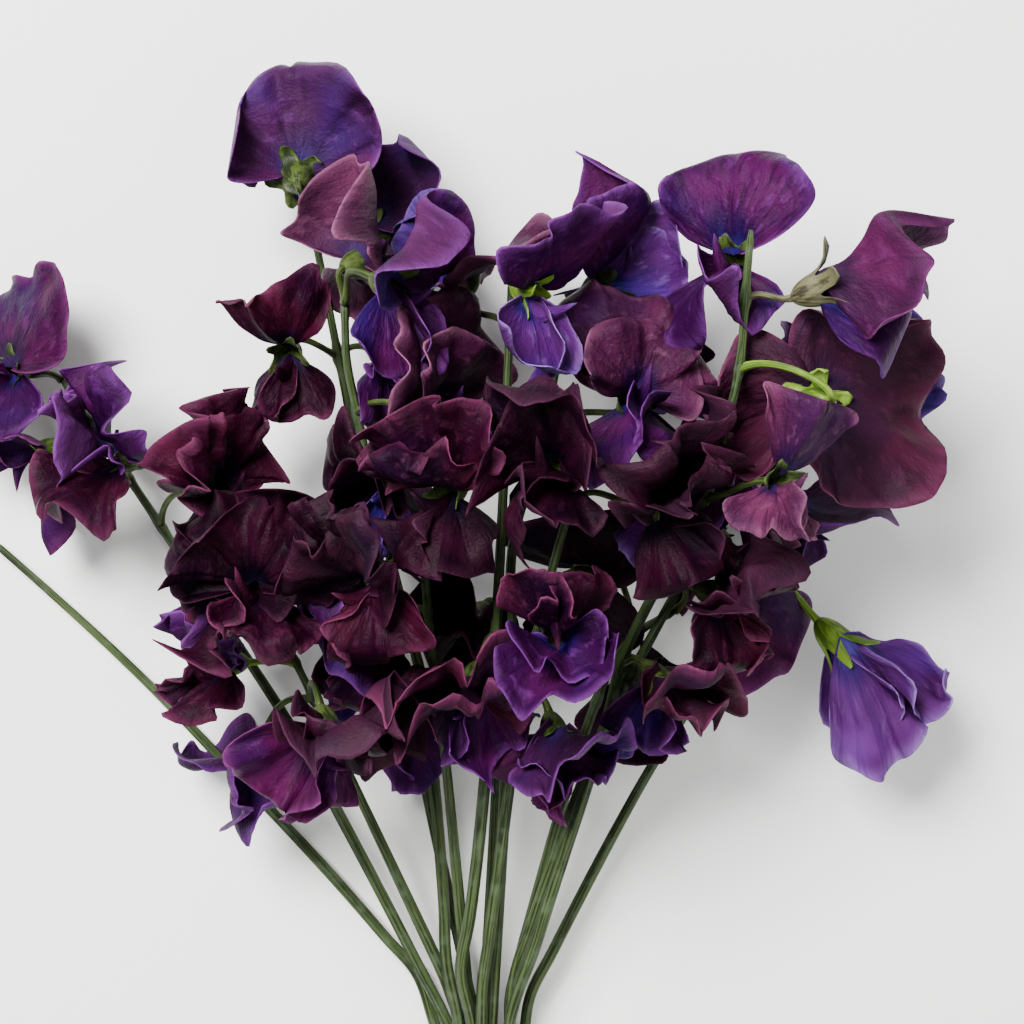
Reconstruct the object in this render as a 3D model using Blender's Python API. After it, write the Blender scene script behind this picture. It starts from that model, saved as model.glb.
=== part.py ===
"""A bunch of cut sweet pea stems, laid down: fourteen stems and their blossoms.

X runs across the bunch, Y along it from the cut ends to the tips, and Z up from
the surface that it lies on. The tables are in millimetres from the neck of the
bunch, and Blender gets metres. Each stem is one tube. Each blossom is one closed
body: its stalk, its calyx, and petals simplified to a lopsided cup whose tall
side is the standard.
"""

import math

import bpy
import numpy as np
from mathutils import Matrix, Vector

MM = 0.001

# Where the middle of the bunch's box lies, from the neck.
MIDDLE = np.array((-16.5, 101.0, 0.0))

# Stems.
STEM_RADIUS = 1.7
TIP_RADIUS_SHARE = 0.62
STEM_POINTS = 17
STEM_SIDES = 2  # bevel resolution: eight sides

# The neck is a pile of stems, with this many in each layer from the surface up.
WAIST_Y = -34.0
CUT_Y = -62.0
SLOT_WIDTH = 4.7
LAYER_HEIGHT = 3.9

# Blossoms, at size 1.
CUP_SIDES = 9
STALK_RADIUS = 0.95
CALYX_RADIUS = 2.9
MOUTH_RADIUS = 4.3
CALYX_LENGTH = 8.0
STANDARD_REACH = 23.5
WING_REACH = 9.5
STANDARD_RISE = 13.0
WING_RISE = 20.5
PETAL_WALL = 1.7
KEEL_HEIGHT = 16.5
STEM_GAP = 0.35

# How the blossoms settle among each other.
ROOM = 16.9
CALYX_ROOM = 4.8
FORWARD_OF_CALYX = 11.5
ABOVE_CALYX = 6.0
STEM_ROOM = 5.6
ROUNDS = 300
STALK_SHORTEST = 9.0
STALK_LONGEST = 25.0
CEILING = 118.0

COLOURS = {
    "stem": (0.115, 0.155, 0.045),
    "aubergine": (0.023, 0.003, 0.017),
    "maroon": (0.068, 0.007, 0.036),
    "mauve": (0.155, 0.035, 0.115),
    "purple": (0.102, 0.013, 0.195),
    "violet": (0.070, 0.023, 0.320),
    "lilac": (0.205, 0.090, 0.460),
    "magenta": (0.112, 0.005, 0.068),
}

# letter: (place in its layer, layer), then the points that it passes above the neck.
STEMS = {
    "a": ((3, 0), [(-31, 81, 22), (-47, 137, 30), (-53, 170, 32), (-54, 221, 30), (-51, 231, 30)]),
    "b": ((0, 1), [(-16, 87, 26), (-22, 150, 30), (-26, 185, 36), (-31, 212, 40)]),
    "c": ((0, 2), [(-4, 70, 36), (4, 140, 58), (5, 168, 62), (1, 190, 62), (0, 205, 64), (7, 216, 68)]),
    "d": ((1, 2), [(6, 70, 30), (20, 140, 54), (31, 172, 60), (28, 192, 54), (25, 207, 48)]),
    "e": ((1, 3), [(24, 81, 33), (49, 138, 68), (67, 168, 82), (77, 190, 90), (80, 206, 92), (82, 221, 92)]),
    "f": ((2, 2), [(15, 70, 28), (40, 130, 40), (60, 156, 46), (76, 170, 48), (86, 178, 46)]),
    "g": ((4, 0), [(24, 85, 22), (60, 122, 30), (84, 142, 32), (91, 151, 34)]),
    "h": ((0, 3), [(1, 70, 36), (10, 120, 60), (24, 148, 68)]),
    "i": ((1, 1), [(-14, 87, 34), (-20, 120, 46), (-22, 142, 52)]),
    "j": ((3, 1), [(8, 70, 24), (28, 98, 34), (40, 118, 38)]),
    "k": ((2, 1), [(-3, 50, 20), (1, 80, 30), (0, 106, 35)]),
    "l": ((1, 0), [(-41, 73, 16), (-79, 118, 18), (-97, 140, 18), (-110, 153, 18), (-121, 168, 18), (-128, 186, 18)]),
    "m": ((2, 0), [(-37, 73, 19), (-52, 95, 25), (-62, 112, 28)]),
    "n": ((0, 0), [(-43, 72, 11), (-79, 112, 9), (-117, 132, 7), (-139, 138, 5), (-152, 137, 4)]),
}

# name: calyx base, the way the flower faces, the way its standard points, size, colour.
BLOSSOMS = {
    "a1": ((-49, 238, 40), (-0.1, 0.35, -0.9), (0.0, 1.0, 0.25), 1.06, "purple"),
    "a2": ((-46, 232, 18), (0.5, 0.2, -0.4), (0.25, 1.0, 0.1), 1.0, "purple"),
    "a3": ((-56, 196, 36), (-0.15, -0.5, 0.7), (-0.1, 0.9, 0.5), 0.95, "maroon"),
    "a4": ((-38, 197, 34), (0.7, -0.3, 0.25), (0.2, 0.8, 0.4), 0.95, "purple"),
    "a5": ((-27, 165, 30), (-0.2, -0.5, 0.4), (0.1, 1.0, 0.2), 1.0, "purple"),
    "b1": ((-39, 212, 56), (0.4, 0.2, -0.5), (0.05, 0.9, 0.5), 1.0, "mauve"),
    "b2": ((-29, 206, 57), (0.7, -0.35, 0.35), (0.1, 1.0, 0.3), 1.0, "purple"),
    "b3": ((-23, 182, 66), (0.7, 0.0, 0.45), (-0.2, 0.8, 0.4), 1.0, "mauve"),
    "c1": ((9, 210, 76), (0.8, -0.5, 0.3), (0.5, 0.8, 0.2), 0.95, "purple"),
    "c2": ((-7, 209, 50), (-0.15, 0.9, 0.3), (0.9, 0.1, 0.4), 0.95, "mauve"),
    "c3": ((-4, 101, 56), (-0.3, -0.8, 0.4), (-0.3, -0.3, 0.8), 1.0, "maroon"),
    "d1": ((27, 206, 52), (0.75, 0.5, 0.2), (-0.6, 0.75, 0.4), 1.0, "purple"),
    "d2": ((34, 192, 32), (0.5, 0.3, -0.2), (0.2, 0.7, 0.6), 0.95, "purple"),
    "d3": ((48, 177, 72), (0.2, 0.25, 0.9), (0.1, 1.0, -0.1), 1.15, "maroon"),
    "e1": ((77, 217, 56), (-0.35, 0.1, 0.7), (0.0, 1.0, 0.1), 1.05, "purple"),
    "e2": ((80, 206, 84), (0.9, 0.3, 0.25), (-0.2, 0.8, 0.55), 1.1, "purple"),
    "e3": ((99, 174, 93), (-0.3, -0.1, -0.9), (1.0, 0.05, -0.1), 1.15, "maroon"),
    "e4": ((80, 156, 98), (0.35, -0.1, 0.85), (0.35, 0.9, 0.1), 0.9, "mauve"),
    "e5": ((46, 112, 52), (0.5, -0.7, 0.35), (0.6, -0.2, 0.5), 1.0, "maroon"),
    "f1": ((67, 177, 44), (0.7, -0.3, 0.4), (0.1, 0.9, 0.5), 1.0, "purple"),
    "f2": ((50, 164, 56), (0.5, -0.6, 0.5), (0.6, 0.5, 0.5), 0.95, "purple"),
    "f3": ((88, 152, 26), (0.4, -0.5, -0.1), (0.6, -0.1, 0.6), 0.95, "purple"),
    "f4": ((108, 186, 40), (0.95, 0.05, -0.1), (0.2, 0.9, 0.2), 0.85, "violet"),
    "g1": ((73, 128, 50), (-0.2, -0.4, 0.85), (0.15, -0.95, -0.3), 1.0, "magenta"),
    "g2": ((101, 112, 30), (0.66, -0.74, 0.12), (0.3, 0.25, 0.9), 1.1, "lilac"),
    "g3": ((74, 136, 22), (-0.4, 0.2, -0.1), (0.0, 0.9, -0.2), 0.95, "maroon"),
    "h1": ((20, 156, 84), (-0.35, 0.2, 0.8), (0.0, 1.0, 0.0), 1.05, "aubergine"),
    "h2": ((43, 149, 78), (0.85, -0.1, 0.4), (0.0, 0.9, 0.5), 1.0, "aubergine"),
    "h3": ((20, 111, 78), (0.0, 0.1, 0.9), (0.05, -1.0, 0.2), 0.87, "purple"),
    "i1": ((-6, 154, 72), (-0.6, -0.3, 0.6), (-0.2, 0.9, 0.3), 1.0, "maroon"),
    "i2": ((-26, 133, 63), (-0.6, -0.5, 0.45), (-0.4, 0.8, 0.4), 1.0, "maroon"),
    "i3": ((-24, 114, 50), (-0.8, -0.4, 0.3), (-0.3, 0.8, 0.3), 1.0, "purple"),
    "i4": ((-25, 97, 42), (-0.3, -0.8, 0.4), (-0.5, -0.1, 0.7), 1.0, "violet"),
    "j1": ((58, 117, 52), (0.85, -0.3, 0.35), (0.1, 0.9, 0.4), 0.95, "aubergine"),
    "j2": ((38, 107, 31), (0.5, -0.5, 0.4), (0.1, 1.0, 0.3), 1.0, "aubergine"),
    "j3": ((26, 134, 36), (-0.3, -0.4, 0.5), (0.0, 1.0, 0.3), 1.0, "aubergine"),
    "k1": ((17, 90, 50), (0.2, -0.8, 0.4), (0.4, -0.2, 0.8), 0.95, "purple"),
    "k2": ((-6, 118, 34), (-0.3, -0.5, 0.5), (0.1, 1.0, 0.2), 1.0, "aubergine"),
    "l1": ((-104, 160, 30), (-0.7, 0.2, 0.45), (-0.2, 0.9, 0.3), 1.0, "purple"),
    "l2": ((-83, 152, 38), (0.6, 0.0, 0.55), (0.1, 0.9, 0.4), 1.0, "maroon"),
    "l3": ((-140, 188, 12), (-0.5, 0.1, 0.75), (0.1, 1.0, 0.0), 1.0, "magenta"),
    "l4": ((-130, 168, 15), (-0.6, -0.5, 0.3), (-0.4, -0.7, 0.2), 0.95, "magenta"),
    "m1": ((-54, 121, 48), (-0.25, 0.1, 0.8), (-0.1, 0.9, 0.2), 1.08, "aubergine"),
    "m2": ((-70, 102, 34), (-0.85, 0.0, 0.35), (-0.3, 0.8, 0.3), 1.0, "purple"),
    "m3": ((-38, 98, 46), (0.2, -0.8, 0.45), (0.6, 0.1, 0.5), 1.1, "aubergine"),
    "m4": ((-66, 80, 17), (-0.3, -0.75, 0.1), (-0.5, -0.3, -0.6), 1.0, "violet"),
}


def unit(vector):
    """The vector at length one."""
    return vector / np.linalg.norm(vector)


def square_to(vector, axis):
    """The unit vector nearest to this one that is square to the axis."""
    return unit(vector - axis * np.dot(vector, axis))


def smooth_route(points, count):
    """A Catmull-Rom curve through the points, as this many evenly spaced points."""
    ends = [2 * points[0] - points[1], *points, 2 * points[-1] - points[-2]]
    fine = []
    for p0, p1, p2, p3 in zip(ends, ends[1:], ends[2:], ends[3:]):
        for t in np.linspace(0, 1, 12, endpoint=False):
            fine.append(
                0.5 * (2 * p1 + (p2 - p0) * t + (2 * p0 - 5 * p1 + 4 * p2 - p3) * t**2
                       + (3 * p1 - p0 - 3 * p2 + p3) * t**3)
            )
    fine = np.array([*fine, points[-1]])
    run = np.concatenate([[0], np.cumsum(np.linalg.norm(np.diff(fine, axis=0), axis=1))])
    wanted = np.linspace(0, run[-1], count)
    return np.stack([np.interp(wanted, run, fine[:, i]) for i in range(3)], axis=1)


def stem_start(place, layer, first):
    """The cut end, the waist and the neck of the stem in this slot, on its way to its first point."""
    in_layer = 5 - layer
    across = (place - (in_layer - 1) / 2) * SLOT_WIDTH
    if layer == 3:
        across = (place - 0.5) * SLOT_WIDTH
    height = STEM_RADIUS + layer * LAYER_HEIGHT
    cut = CUT_Y + 3.0 * math.sin(2.4 * place + 1.7 * layer)
    waist = np.array((across, WAIST_Y, height + 0.8))
    neck = waist + (first - waist) * (0.0 - WAIST_Y) / (first[1] - WAIST_Y)
    return [np.array((across * 1.35, cut, height)), waist, neck]


def stem_routes():
    """Each stem's route before the blossoms settle, and how many of its points stay put."""
    routes = {}
    for letter, (slot, passes) in STEMS.items():
        passes = [np.array(p, float) for p in passes]
        points = stem_start(*slot, passes[0]) + passes
        routes[letter] = smooth_route(points, STEM_POINTS)
    return routes


def push_apart(gaps, reach):
    """For offsets between pairs, how far each should open up to be this far apart."""
    distance = np.linalg.norm(gaps, axis=-1)
    short = np.clip(reach - distance, 0, None)
    return gaps / np.maximum(distance, 1e-6)[..., None] * short[..., None]


def nearest_joints(stems, owner, calyx, axis):
    """For each blossom, the point of its stem that its stalk grows from."""
    wanted = calyx - 7 * axis - (0, 5, 0)
    distance = np.linalg.norm(stems[owner] - wanted[:, None], axis=2)
    return np.argmin(distance, axis=1)


def settle(routes):
    """Lets the blossoms and stems push each other apart, and returns where they come to lie."""
    names = list(BLOSSOMS)
    letters = list(routes)
    home = np.array([BLOSSOMS[n][0] for n in names], float)
    axis = np.array([unit(np.array(BLOSSOMS[n][1], float)) for n in names])
    top = np.array([square_to(np.array(BLOSSOMS[n][2], float), a) for n, a in zip(names, axis)])
    size = np.array([BLOSSOMS[n][3] for n in names])
    owner = np.array([letters.index(n[0]) for n in names])
    offset = (FORWARD_OF_CALYX * axis + ABOVE_CALYX * top) * size[:, None]
    room = ROOM * size
    calyx = home.copy()
    stems = np.array([routes[k] for k in letters])
    pinned = stems[:, :, 1] < 8
    ease = np.array((0.35, 0.35, 1.0))
    share = np.array((0.0, 1 / 3, 2 / 3))
    same = np.repeat(np.arange(len(letters)), (STEM_POINTS - 1) * len(share))
    same_stem = same[:, None] == same[None]
    joint = nearest_joints(stems, owner, calyx, axis)
    for turn in range(ROUNDS):
        late = turn > 0.8 * ROUNDS
        hold = 0.1 if late else 1.0
        if not late:
            joint = nearest_joints(stems, owner, calyx, axis)
        middle = calyx + offset
        gaps = middle[:, None] - middle[None]
        move = push_apart(gaps, room[:, None] + room[None] + 0.4).sum(axis=1) * 0.5
        # A calyx keeps out of every other blossom.
        gaps = (calyx - 2 * axis)[:, None] - middle[None]
        push = push_apart(gaps, room[None] + CALYX_ROOM)
        push[np.arange(len(names)), np.arange(len(names))] = 0
        move += 0.5 * push.sum(axis=1) - 0.5 * push.sum(axis=0)
        # A stalk's middle does too.
        start = stems[owner, joint]
        gaps = (0.5 * (calyx + start))[:, None] - middle[None]
        push = push_apart(gaps, room[None] + 2.0)
        push[np.arange(len(names)), np.arange(len(names))] = 0
        move += 0.4 * push.sum(axis=1) - 0.4 * push.sum(axis=0)
        # Stems bend round blossoms and round calyxes.
        shift = np.zeros_like(stems)
        run = stems[:, 1:] - stems[:, :-1]
        for centre, reach, own in ((middle, room + 2.8, None), (calyx, np.full(len(names), 7.0), owner)):
            along = np.einsum("bsic,sic->bsi", centre[:, None, None] - stems[None, :, :-1], run)
            along = np.clip(along / (run**2).sum(-1)[None], 0, 1)
            near = stems[None, :, :-1] + along[..., None] * run[None]
            push = push_apart(near - centre[:, None, None], reach[:, None, None])
            shift[:, :-1] += (0.6 * push * (1 - along[..., None])).sum(axis=0)
            shift[:, 1:] += (0.6 * push * along[..., None]).sum(axis=0)
            move -= 0.15 * push.sum(axis=(1, 2))
        # Stems keep apart from each other.
        samples = (stems[:, :-1, None] + share[:, None] * run[:, :, None]).reshape(-1, 3)
        push = push_apart(samples[:, None] - samples[None], STEM_ROOM)
        push[same_stem] = 0
        push = 0.4 * push.sum(axis=1).reshape(len(letters), STEM_POINTS - 1, len(share), 3)
        shift[:, :-1] += (push * (1 - share)[:, None]).sum(axis=2)
        shift[:, 1:] += (push * share[:, None]).sum(axis=2)
        # A stalk is neither too long nor too short.
        pull = calyx - start
        length = np.linalg.norm(pull, axis=1)
        wanted = np.clip(length, STALK_SHORTEST, STALK_LONGEST)
        pull *= ((length - wanted) / np.maximum(length, 1e-6))[:, None]
        move -= 0.25 * hold * pull
        np.add.at(shift, (owner, joint), 0.25 * hold * pull)
        # Stems stay smooth, and blossoms lean back to their places.
        bend = np.zeros_like(stems)
        bend[:, 1:-1] = 0.5 * (stems[:, :-2] + stems[:, 2:]) - stems[:, 1:-1]
        shift += 0.35 * hold * bend
        shift[pinned] = 0
        stems += np.clip(shift, -2, 2)
        move += (home - calyx) * (0.0 if late else 0.05) * (1.6, 1.6, 1.0)
        move[:, 2] -= 0.5 * np.clip(middle[:, 2] + 15 * size - CEILING, 0, None)
        calyx += np.clip(move * ease, -2, 2)
        calyx[:, 2] += np.clip(floor_lift(calyx, axis, top, size), 0, 2)
        stems[:, :, 2] = np.maximum(stems[:, :, 2], STEM_RADIUS)
    lift = floor_lift(calyx, axis, top, size)
    calyx[:, 2] += np.where(lift > -4.0, lift, 0)
    places = {n: (calyx[i], axis[i], top[i], size[i], owner[i], joint[i]) for i, n in enumerate(names)}
    return places, dict(zip(letters, stems))


def rim(angle):
    """Reach and rise of the petals' rim at an angle from the standard, at size 1."""
    share = 0.5 + 0.5 * math.cos(angle)
    wave = 0.7 * math.cos(5 * angle)
    reach = WING_REACH + (STANDARD_REACH - WING_REACH) * share + 0.5 * wave
    rise = WING_RISE + (STANDARD_RISE - WING_RISE) * share + wave
    return reach, rise


def floor_lift(calyx, axis, top, size):
    """How far each blossom has to rise for its lowest point to touch the surface."""
    side = np.cross(axis, top)
    lowest = np.zeros(len(calyx))
    for angle in np.linspace(0, 2 * math.pi, CUP_SIDES, endpoint=False):
        reach, rise = rim(angle)
        out = math.cos(angle) * top[:, 2] + math.sin(angle) * side[:, 2]
        lowest = np.minimum(lowest, size * (reach * out + rise * axis[:, 2]))
        lowest = np.minimum(lowest, size * ((reach - PETAL_WALL) * out + (rise + 0.8) * axis[:, 2]))
    lowest = np.minimum(lowest, size * (KEEL_HEIGHT * axis[:, 2]))
    return -(calyx[:, 2] + lowest)


def cup_rings(size):
    """Rings from the calyx base to the keel in the blossom's own space, Z forward, Y the standard."""
    angles = np.linspace(0, 2 * math.pi, CUP_SIDES, endpoint=False)
    rings = [[] for _ in range(9)]
    for angle in angles:
        reach, rise = rim(angle)
        spread = reach - MOUTH_RADIUS
        climb = rise - CALYX_LENGTH
        outline = [
            (CALYX_RADIUS * 0.75, 0.0),
            (CALYX_RADIUS * 1.25, CALYX_LENGTH * 0.45),
            (MOUTH_RADIUS, CALYX_LENGTH),
            (MOUTH_RADIUS + 0.5 * spread, CALYX_LENGTH + 0.62 * climb),
            (reach, rise),
            (reach - PETAL_WALL, rise + 0.8),
            (MOUTH_RADIUS + 0.42 * spread - 0.6, CALYX_LENGTH + 0.62 * climb + PETAL_WALL),
            (MOUTH_RADIUS - 0.6, CALYX_LENGTH + 2.4),
            (MOUTH_RADIUS - 1.6, KEEL_HEIGHT - 1.5),
        ]
        for ring, (out, up) in zip(rings, outline):
            ring.append((-math.sin(angle) * out * size, math.cos(angle) * out * size, up * size))
    return rings


def stalk_rings(start, away, count):
    """Rings of the stalk from beside the stem to just below the calyx, in the blossom's own space."""
    start = np.array(start)
    end = np.array((0.0, 0.0, -0.6))
    pull = 0.45 * np.linalg.norm(end - start)
    bend_a = start + pull * unit(np.array(away))
    bend_b = end - np.array((0.0, 0.0, pull))
    rings = []
    y_side = np.array((0.0, 1.0, 0.0))
    for t in np.linspace(1, 0, count):
        centre = ((1 - t) ** 3 * start + 3 * (1 - t) ** 2 * t * bend_a
                  + 3 * (1 - t) * t**2 * bend_b + t**3 * end)
        along = unit(3 * (1 - t) ** 2 * (bend_a - start) + 6 * (1 - t) * t * (bend_b - bend_a)
                     + 3 * t**2 * (end - bend_b))
        y_side = square_to(y_side, along)
        x_side = np.cross(y_side, along)
        ring = []
        for angle in np.linspace(0, 2 * math.pi, CUP_SIDES, endpoint=False):
            out = -math.sin(angle) * x_side + math.cos(angle) * y_side
            ring.append(tuple(centre + STALK_RADIUS * out))
        rings.append(ring)
    return rings[::-1]


def blossom_mesh(name, size, start, away):
    """One closed body: stalk, calyx, cup of petals and keel."""
    rings = stalk_rings(start, away, 4) + cup_rings(size)
    points = [p for ring in rings for p in ring]
    foot = len(points)
    points.append(tuple(np.mean(rings[0], axis=0)))
    points.append((0.0, 0.0, KEEL_HEIGHT * size))
    faces = []
    for row in range(len(rings) - 1):
        for i in range(CUP_SIDES):
            j = (i + 1) % CUP_SIDES
            low, high = row * CUP_SIDES, (row + 1) * CUP_SIDES
            faces.append((low + i, low + j, high + j, high + i))
    last = (len(rings) - 1) * CUP_SIDES
    for i in range(CUP_SIDES):
        j = (i + 1) % CUP_SIDES
        faces.append((foot, j, i))
        faces.append((foot + 1, last + i, last + j))
    mesh = bpy.data.meshes.new(name)
    mesh.from_pydata([tuple(c * MM for c in p) for p in points], [], faces)
    return mesh


def material(name, colour, roughness):
    """A Principled material."""
    made = bpy.data.materials.new(name)
    made.use_nodes = True
    shader = made.node_tree.nodes["Principled BSDF"]
    shader.inputs["Base Color"].default_value = (*colour, 1.0)
    shader.inputs["Roughness"].default_value = roughness
    shader.inputs["Metallic"].default_value = 0.0
    return made


def add_object(name, data, finish, parent):
    """Links a new object that wears the finish and hangs under the parent."""
    made = bpy.data.objects.new(name, data)
    data.materials.append(finish)
    made.parent = parent
    bpy.context.scene.collection.objects.link(made)
    return made


def build_stem(letter, route, finish, parent):
    """A tapering tube along its route, with its origin at the cut end."""
    curve = bpy.data.curves.new(f"stem_{letter}", "CURVE")
    curve.dimensions = "3D"
    curve.bevel_depth = STEM_RADIUS * MM
    curve.bevel_resolution = STEM_SIDES
    curve.use_fill_caps = True
    spline = curve.splines.new("POLY")
    spline.points.add(len(route) - 1)
    for i, point in enumerate(route):
        spline.points[i].co = (*((point - route[0]) * MM), 1.0)
        share = max(0.0, i / (len(route) - 1) - 0.45) / 0.55
        spline.points[i].radius = 1.0 + (TIP_RADIUS_SHARE - 1.0) * share
    stem = add_object(f"stem_{letter}", curve, finish, parent)
    stem.location = Vector(route[0] * MM)
    return stem


def build_blossom(name, place, route, finish, parent):
    """A blossom at its place, with its origin at the calyx base."""
    calyx, axis, top, size, _, joint = place
    side = np.cross(top, axis)
    turn = np.stack([side, top, axis], axis=1)
    branch = route[joint]
    along = unit(route[min(joint + 1, len(route) - 1)] - route[max(joint - 1, 0)])
    away = unit(calyx - branch)
    outward = square_to(away, along) if joint < len(route) - 1 else unit(away + 0.5 * along)
    start = branch + outward * (STEM_RADIUS + STALK_RADIUS + STEM_GAP)
    leave = unit(outward + 0.7 * along)
    mesh = blossom_mesh(f"blossom_{name}", size, turn.T @ (start - calyx), turn.T @ leave)
    blossom = add_object(f"blossom_{name}", mesh, finish, parent)
    blossom.matrix_local = Matrix.Translation(Vector(calyx * MM)) @ Matrix(turn.tolist()).to_4x4()
    return blossom


def clear_scene():
    """Removes what the scene holds."""
    for obj in list(bpy.data.objects):
        bpy.data.objects.remove(obj, do_unlink=True)


def main():
    clear_scene()
    bunch = bpy.data.objects.new("bunch", None)
    bunch.location = Vector(-MIDDLE * MM)
    bpy.context.scene.collection.objects.link(bunch)
    finishes = {key: material(key, colour, 0.55) for key, colour in COLOURS.items()}
    places, routes = settle(stem_routes())
    for letter, route in routes.items():
        build_stem(letter, route, finishes["stem"], bunch)
    for name, place in places.items():
        build_blossom(name, place, routes[name[0]], finishes[BLOSSOMS[name][4]], bunch)


main()
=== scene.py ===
"""A bunch of cut sweet peas lying on a pale table, built round its solid frame.

Every flower has a standard, two wings, a keel, and a calyx on its stalk. The
flowers and the stems come to lie where the solid frame has them, by the same
rules of settling. Lengths in the tables and the classes are millimetres from
the neck of the bunch, and Blender gets metres.
"""

import logging
import math
from collections.abc import Callable
from dataclasses import dataclass, field, replace
from enum import Enum

import bmesh
import bpy
import numpy as np
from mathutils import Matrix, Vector


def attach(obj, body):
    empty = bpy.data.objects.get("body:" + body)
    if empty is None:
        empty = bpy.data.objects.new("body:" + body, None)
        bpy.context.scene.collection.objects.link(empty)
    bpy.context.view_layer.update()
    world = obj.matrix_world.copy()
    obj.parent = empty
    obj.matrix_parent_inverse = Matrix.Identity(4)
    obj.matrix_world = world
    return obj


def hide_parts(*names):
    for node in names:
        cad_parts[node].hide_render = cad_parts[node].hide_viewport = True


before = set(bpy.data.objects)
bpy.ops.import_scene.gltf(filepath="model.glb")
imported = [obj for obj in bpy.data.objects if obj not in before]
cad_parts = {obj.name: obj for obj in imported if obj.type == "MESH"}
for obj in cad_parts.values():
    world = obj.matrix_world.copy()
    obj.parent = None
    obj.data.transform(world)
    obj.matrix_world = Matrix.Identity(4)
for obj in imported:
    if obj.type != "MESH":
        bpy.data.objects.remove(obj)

logging.basicConfig(level=logging.INFO, format="%(name)s: %(message)s")
LOG = logging.getLogger("sweet peas")

Array = np.ndarray
Shape = Callable[[Array, Array], Array]

MM = 0.001

# Where the middle of the bunch's box lies, from the neck.
MIDDLE = np.array((-16.5, 101.0, 0.0))

# Stems.
STEM_RADIUS = 1.7
TIP_RADIUS_SHARE = 0.62
STEM_POINTS = 17

# The neck is a pile of stems, five in its lowest layer. Their cut ends are staggered.
LOWEST_LAYER = 5
SLOT_WIDTH = 4.7
LAYER_HEIGHT = 3.9
WAIST_Y = -34.0
WAIST_LIFT = 0.8
CUT_Y = -62.0
CUT_STAGGER = 3.0
CUT_SPREAD = 1.35

# Blossoms in the solid frame, at size 1.
CUP_SIDES = 9
STALK_RADIUS = 0.95
STANDARD_REACH = 23.5
WING_REACH = 9.5
STANDARD_RISE = 13.0
WING_RISE = 20.5
PETAL_WALL = 1.7
KEEL_HEIGHT = 16.5

# How the blossoms settle: each one's room is a ball, in front of its calyx.
ROUNDS = 300
LATE_ROUNDS = 0.8 * ROUNDS  # after these the stalks hold little, and the places nothing
ROOM = 16.9
ROOM_GAP = 0.4
FORWARD_OF_CALYX = 11.5
ABOVE_CALYX = 6.0
CALYX_ROOM = 4.8
STALK_ROOM = 2.0
STEM_FROM_ROOM = 2.8
STEM_FROM_CALYX = 7.0
STEM_ROOM = 5.6
STALK_SHORTEST = 9.0
STALK_LONGEST = 25.0
NECK_TOP = 8.0  # below this the stems stay where they are
MOST_MOVE = 2.0  # in one round
MOST_SINK = 4.0  # a blossom higher off the surface than this isn't let down to it
CEILING = 118.0

# No petal stands higher than this above the table, and the last bit eases off.
PETAL_CEILING = 121.0
CEILING_SOFTNESS = 1.5

# A strip that bends is worked out in this many steps.
BEND_STEPS = 96

# letter: (place in its layer, layer), then the points that it passes above the neck.
STEMS = {
    "a": ((3, 0), [(-31, 81, 22), (-47, 137, 30), (-53, 170, 32), (-54, 221, 30), (-51, 231, 30)]),
    "b": ((0, 1), [(-16, 87, 26), (-22, 150, 30), (-26, 185, 36), (-31, 212, 40)]),
    "c": ((0, 2), [(-4, 70, 36), (4, 140, 58), (5, 168, 62), (1, 190, 62), (0, 205, 64), (7, 216, 68)]),
    "d": ((1, 2), [(6, 70, 30), (20, 140, 54), (31, 172, 60), (28, 192, 54), (25, 207, 48)]),
    "e": ((1, 3), [(24, 81, 33), (49, 138, 68), (67, 168, 82), (77, 190, 90), (80, 206, 92), (82, 221, 92)]),
    "f": ((2, 2), [(15, 70, 28), (40, 130, 40), (60, 156, 46), (76, 170, 48), (86, 178, 46)]),
    "g": ((4, 0), [(24, 85, 22), (60, 122, 30), (84, 142, 32), (91, 151, 34)]),
    "h": ((0, 3), [(1, 70, 36), (10, 120, 60), (24, 148, 68)]),
    "i": ((1, 1), [(-14, 87, 34), (-20, 120, 46), (-22, 142, 52)]),
    "j": ((3, 1), [(8, 70, 24), (28, 98, 34), (40, 118, 38)]),
    "k": ((2, 1), [(-3, 50, 20), (1, 80, 30), (0, 106, 35)]),
    "l": ((1, 0), [(-41, 73, 16), (-79, 118, 18), (-97, 140, 18), (-110, 153, 18), (-121, 168, 18),
                   (-128, 186, 18)]),
    "m": ((2, 0), [(-37, 73, 19), (-52, 95, 25), (-62, 112, 28)]),
    "n": ((0, 0), [(-43, 72, 11), (-79, 112, 9), (-117, 132, 7), (-139, 138, 5), (-152, 137, 4)]),
}

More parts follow.
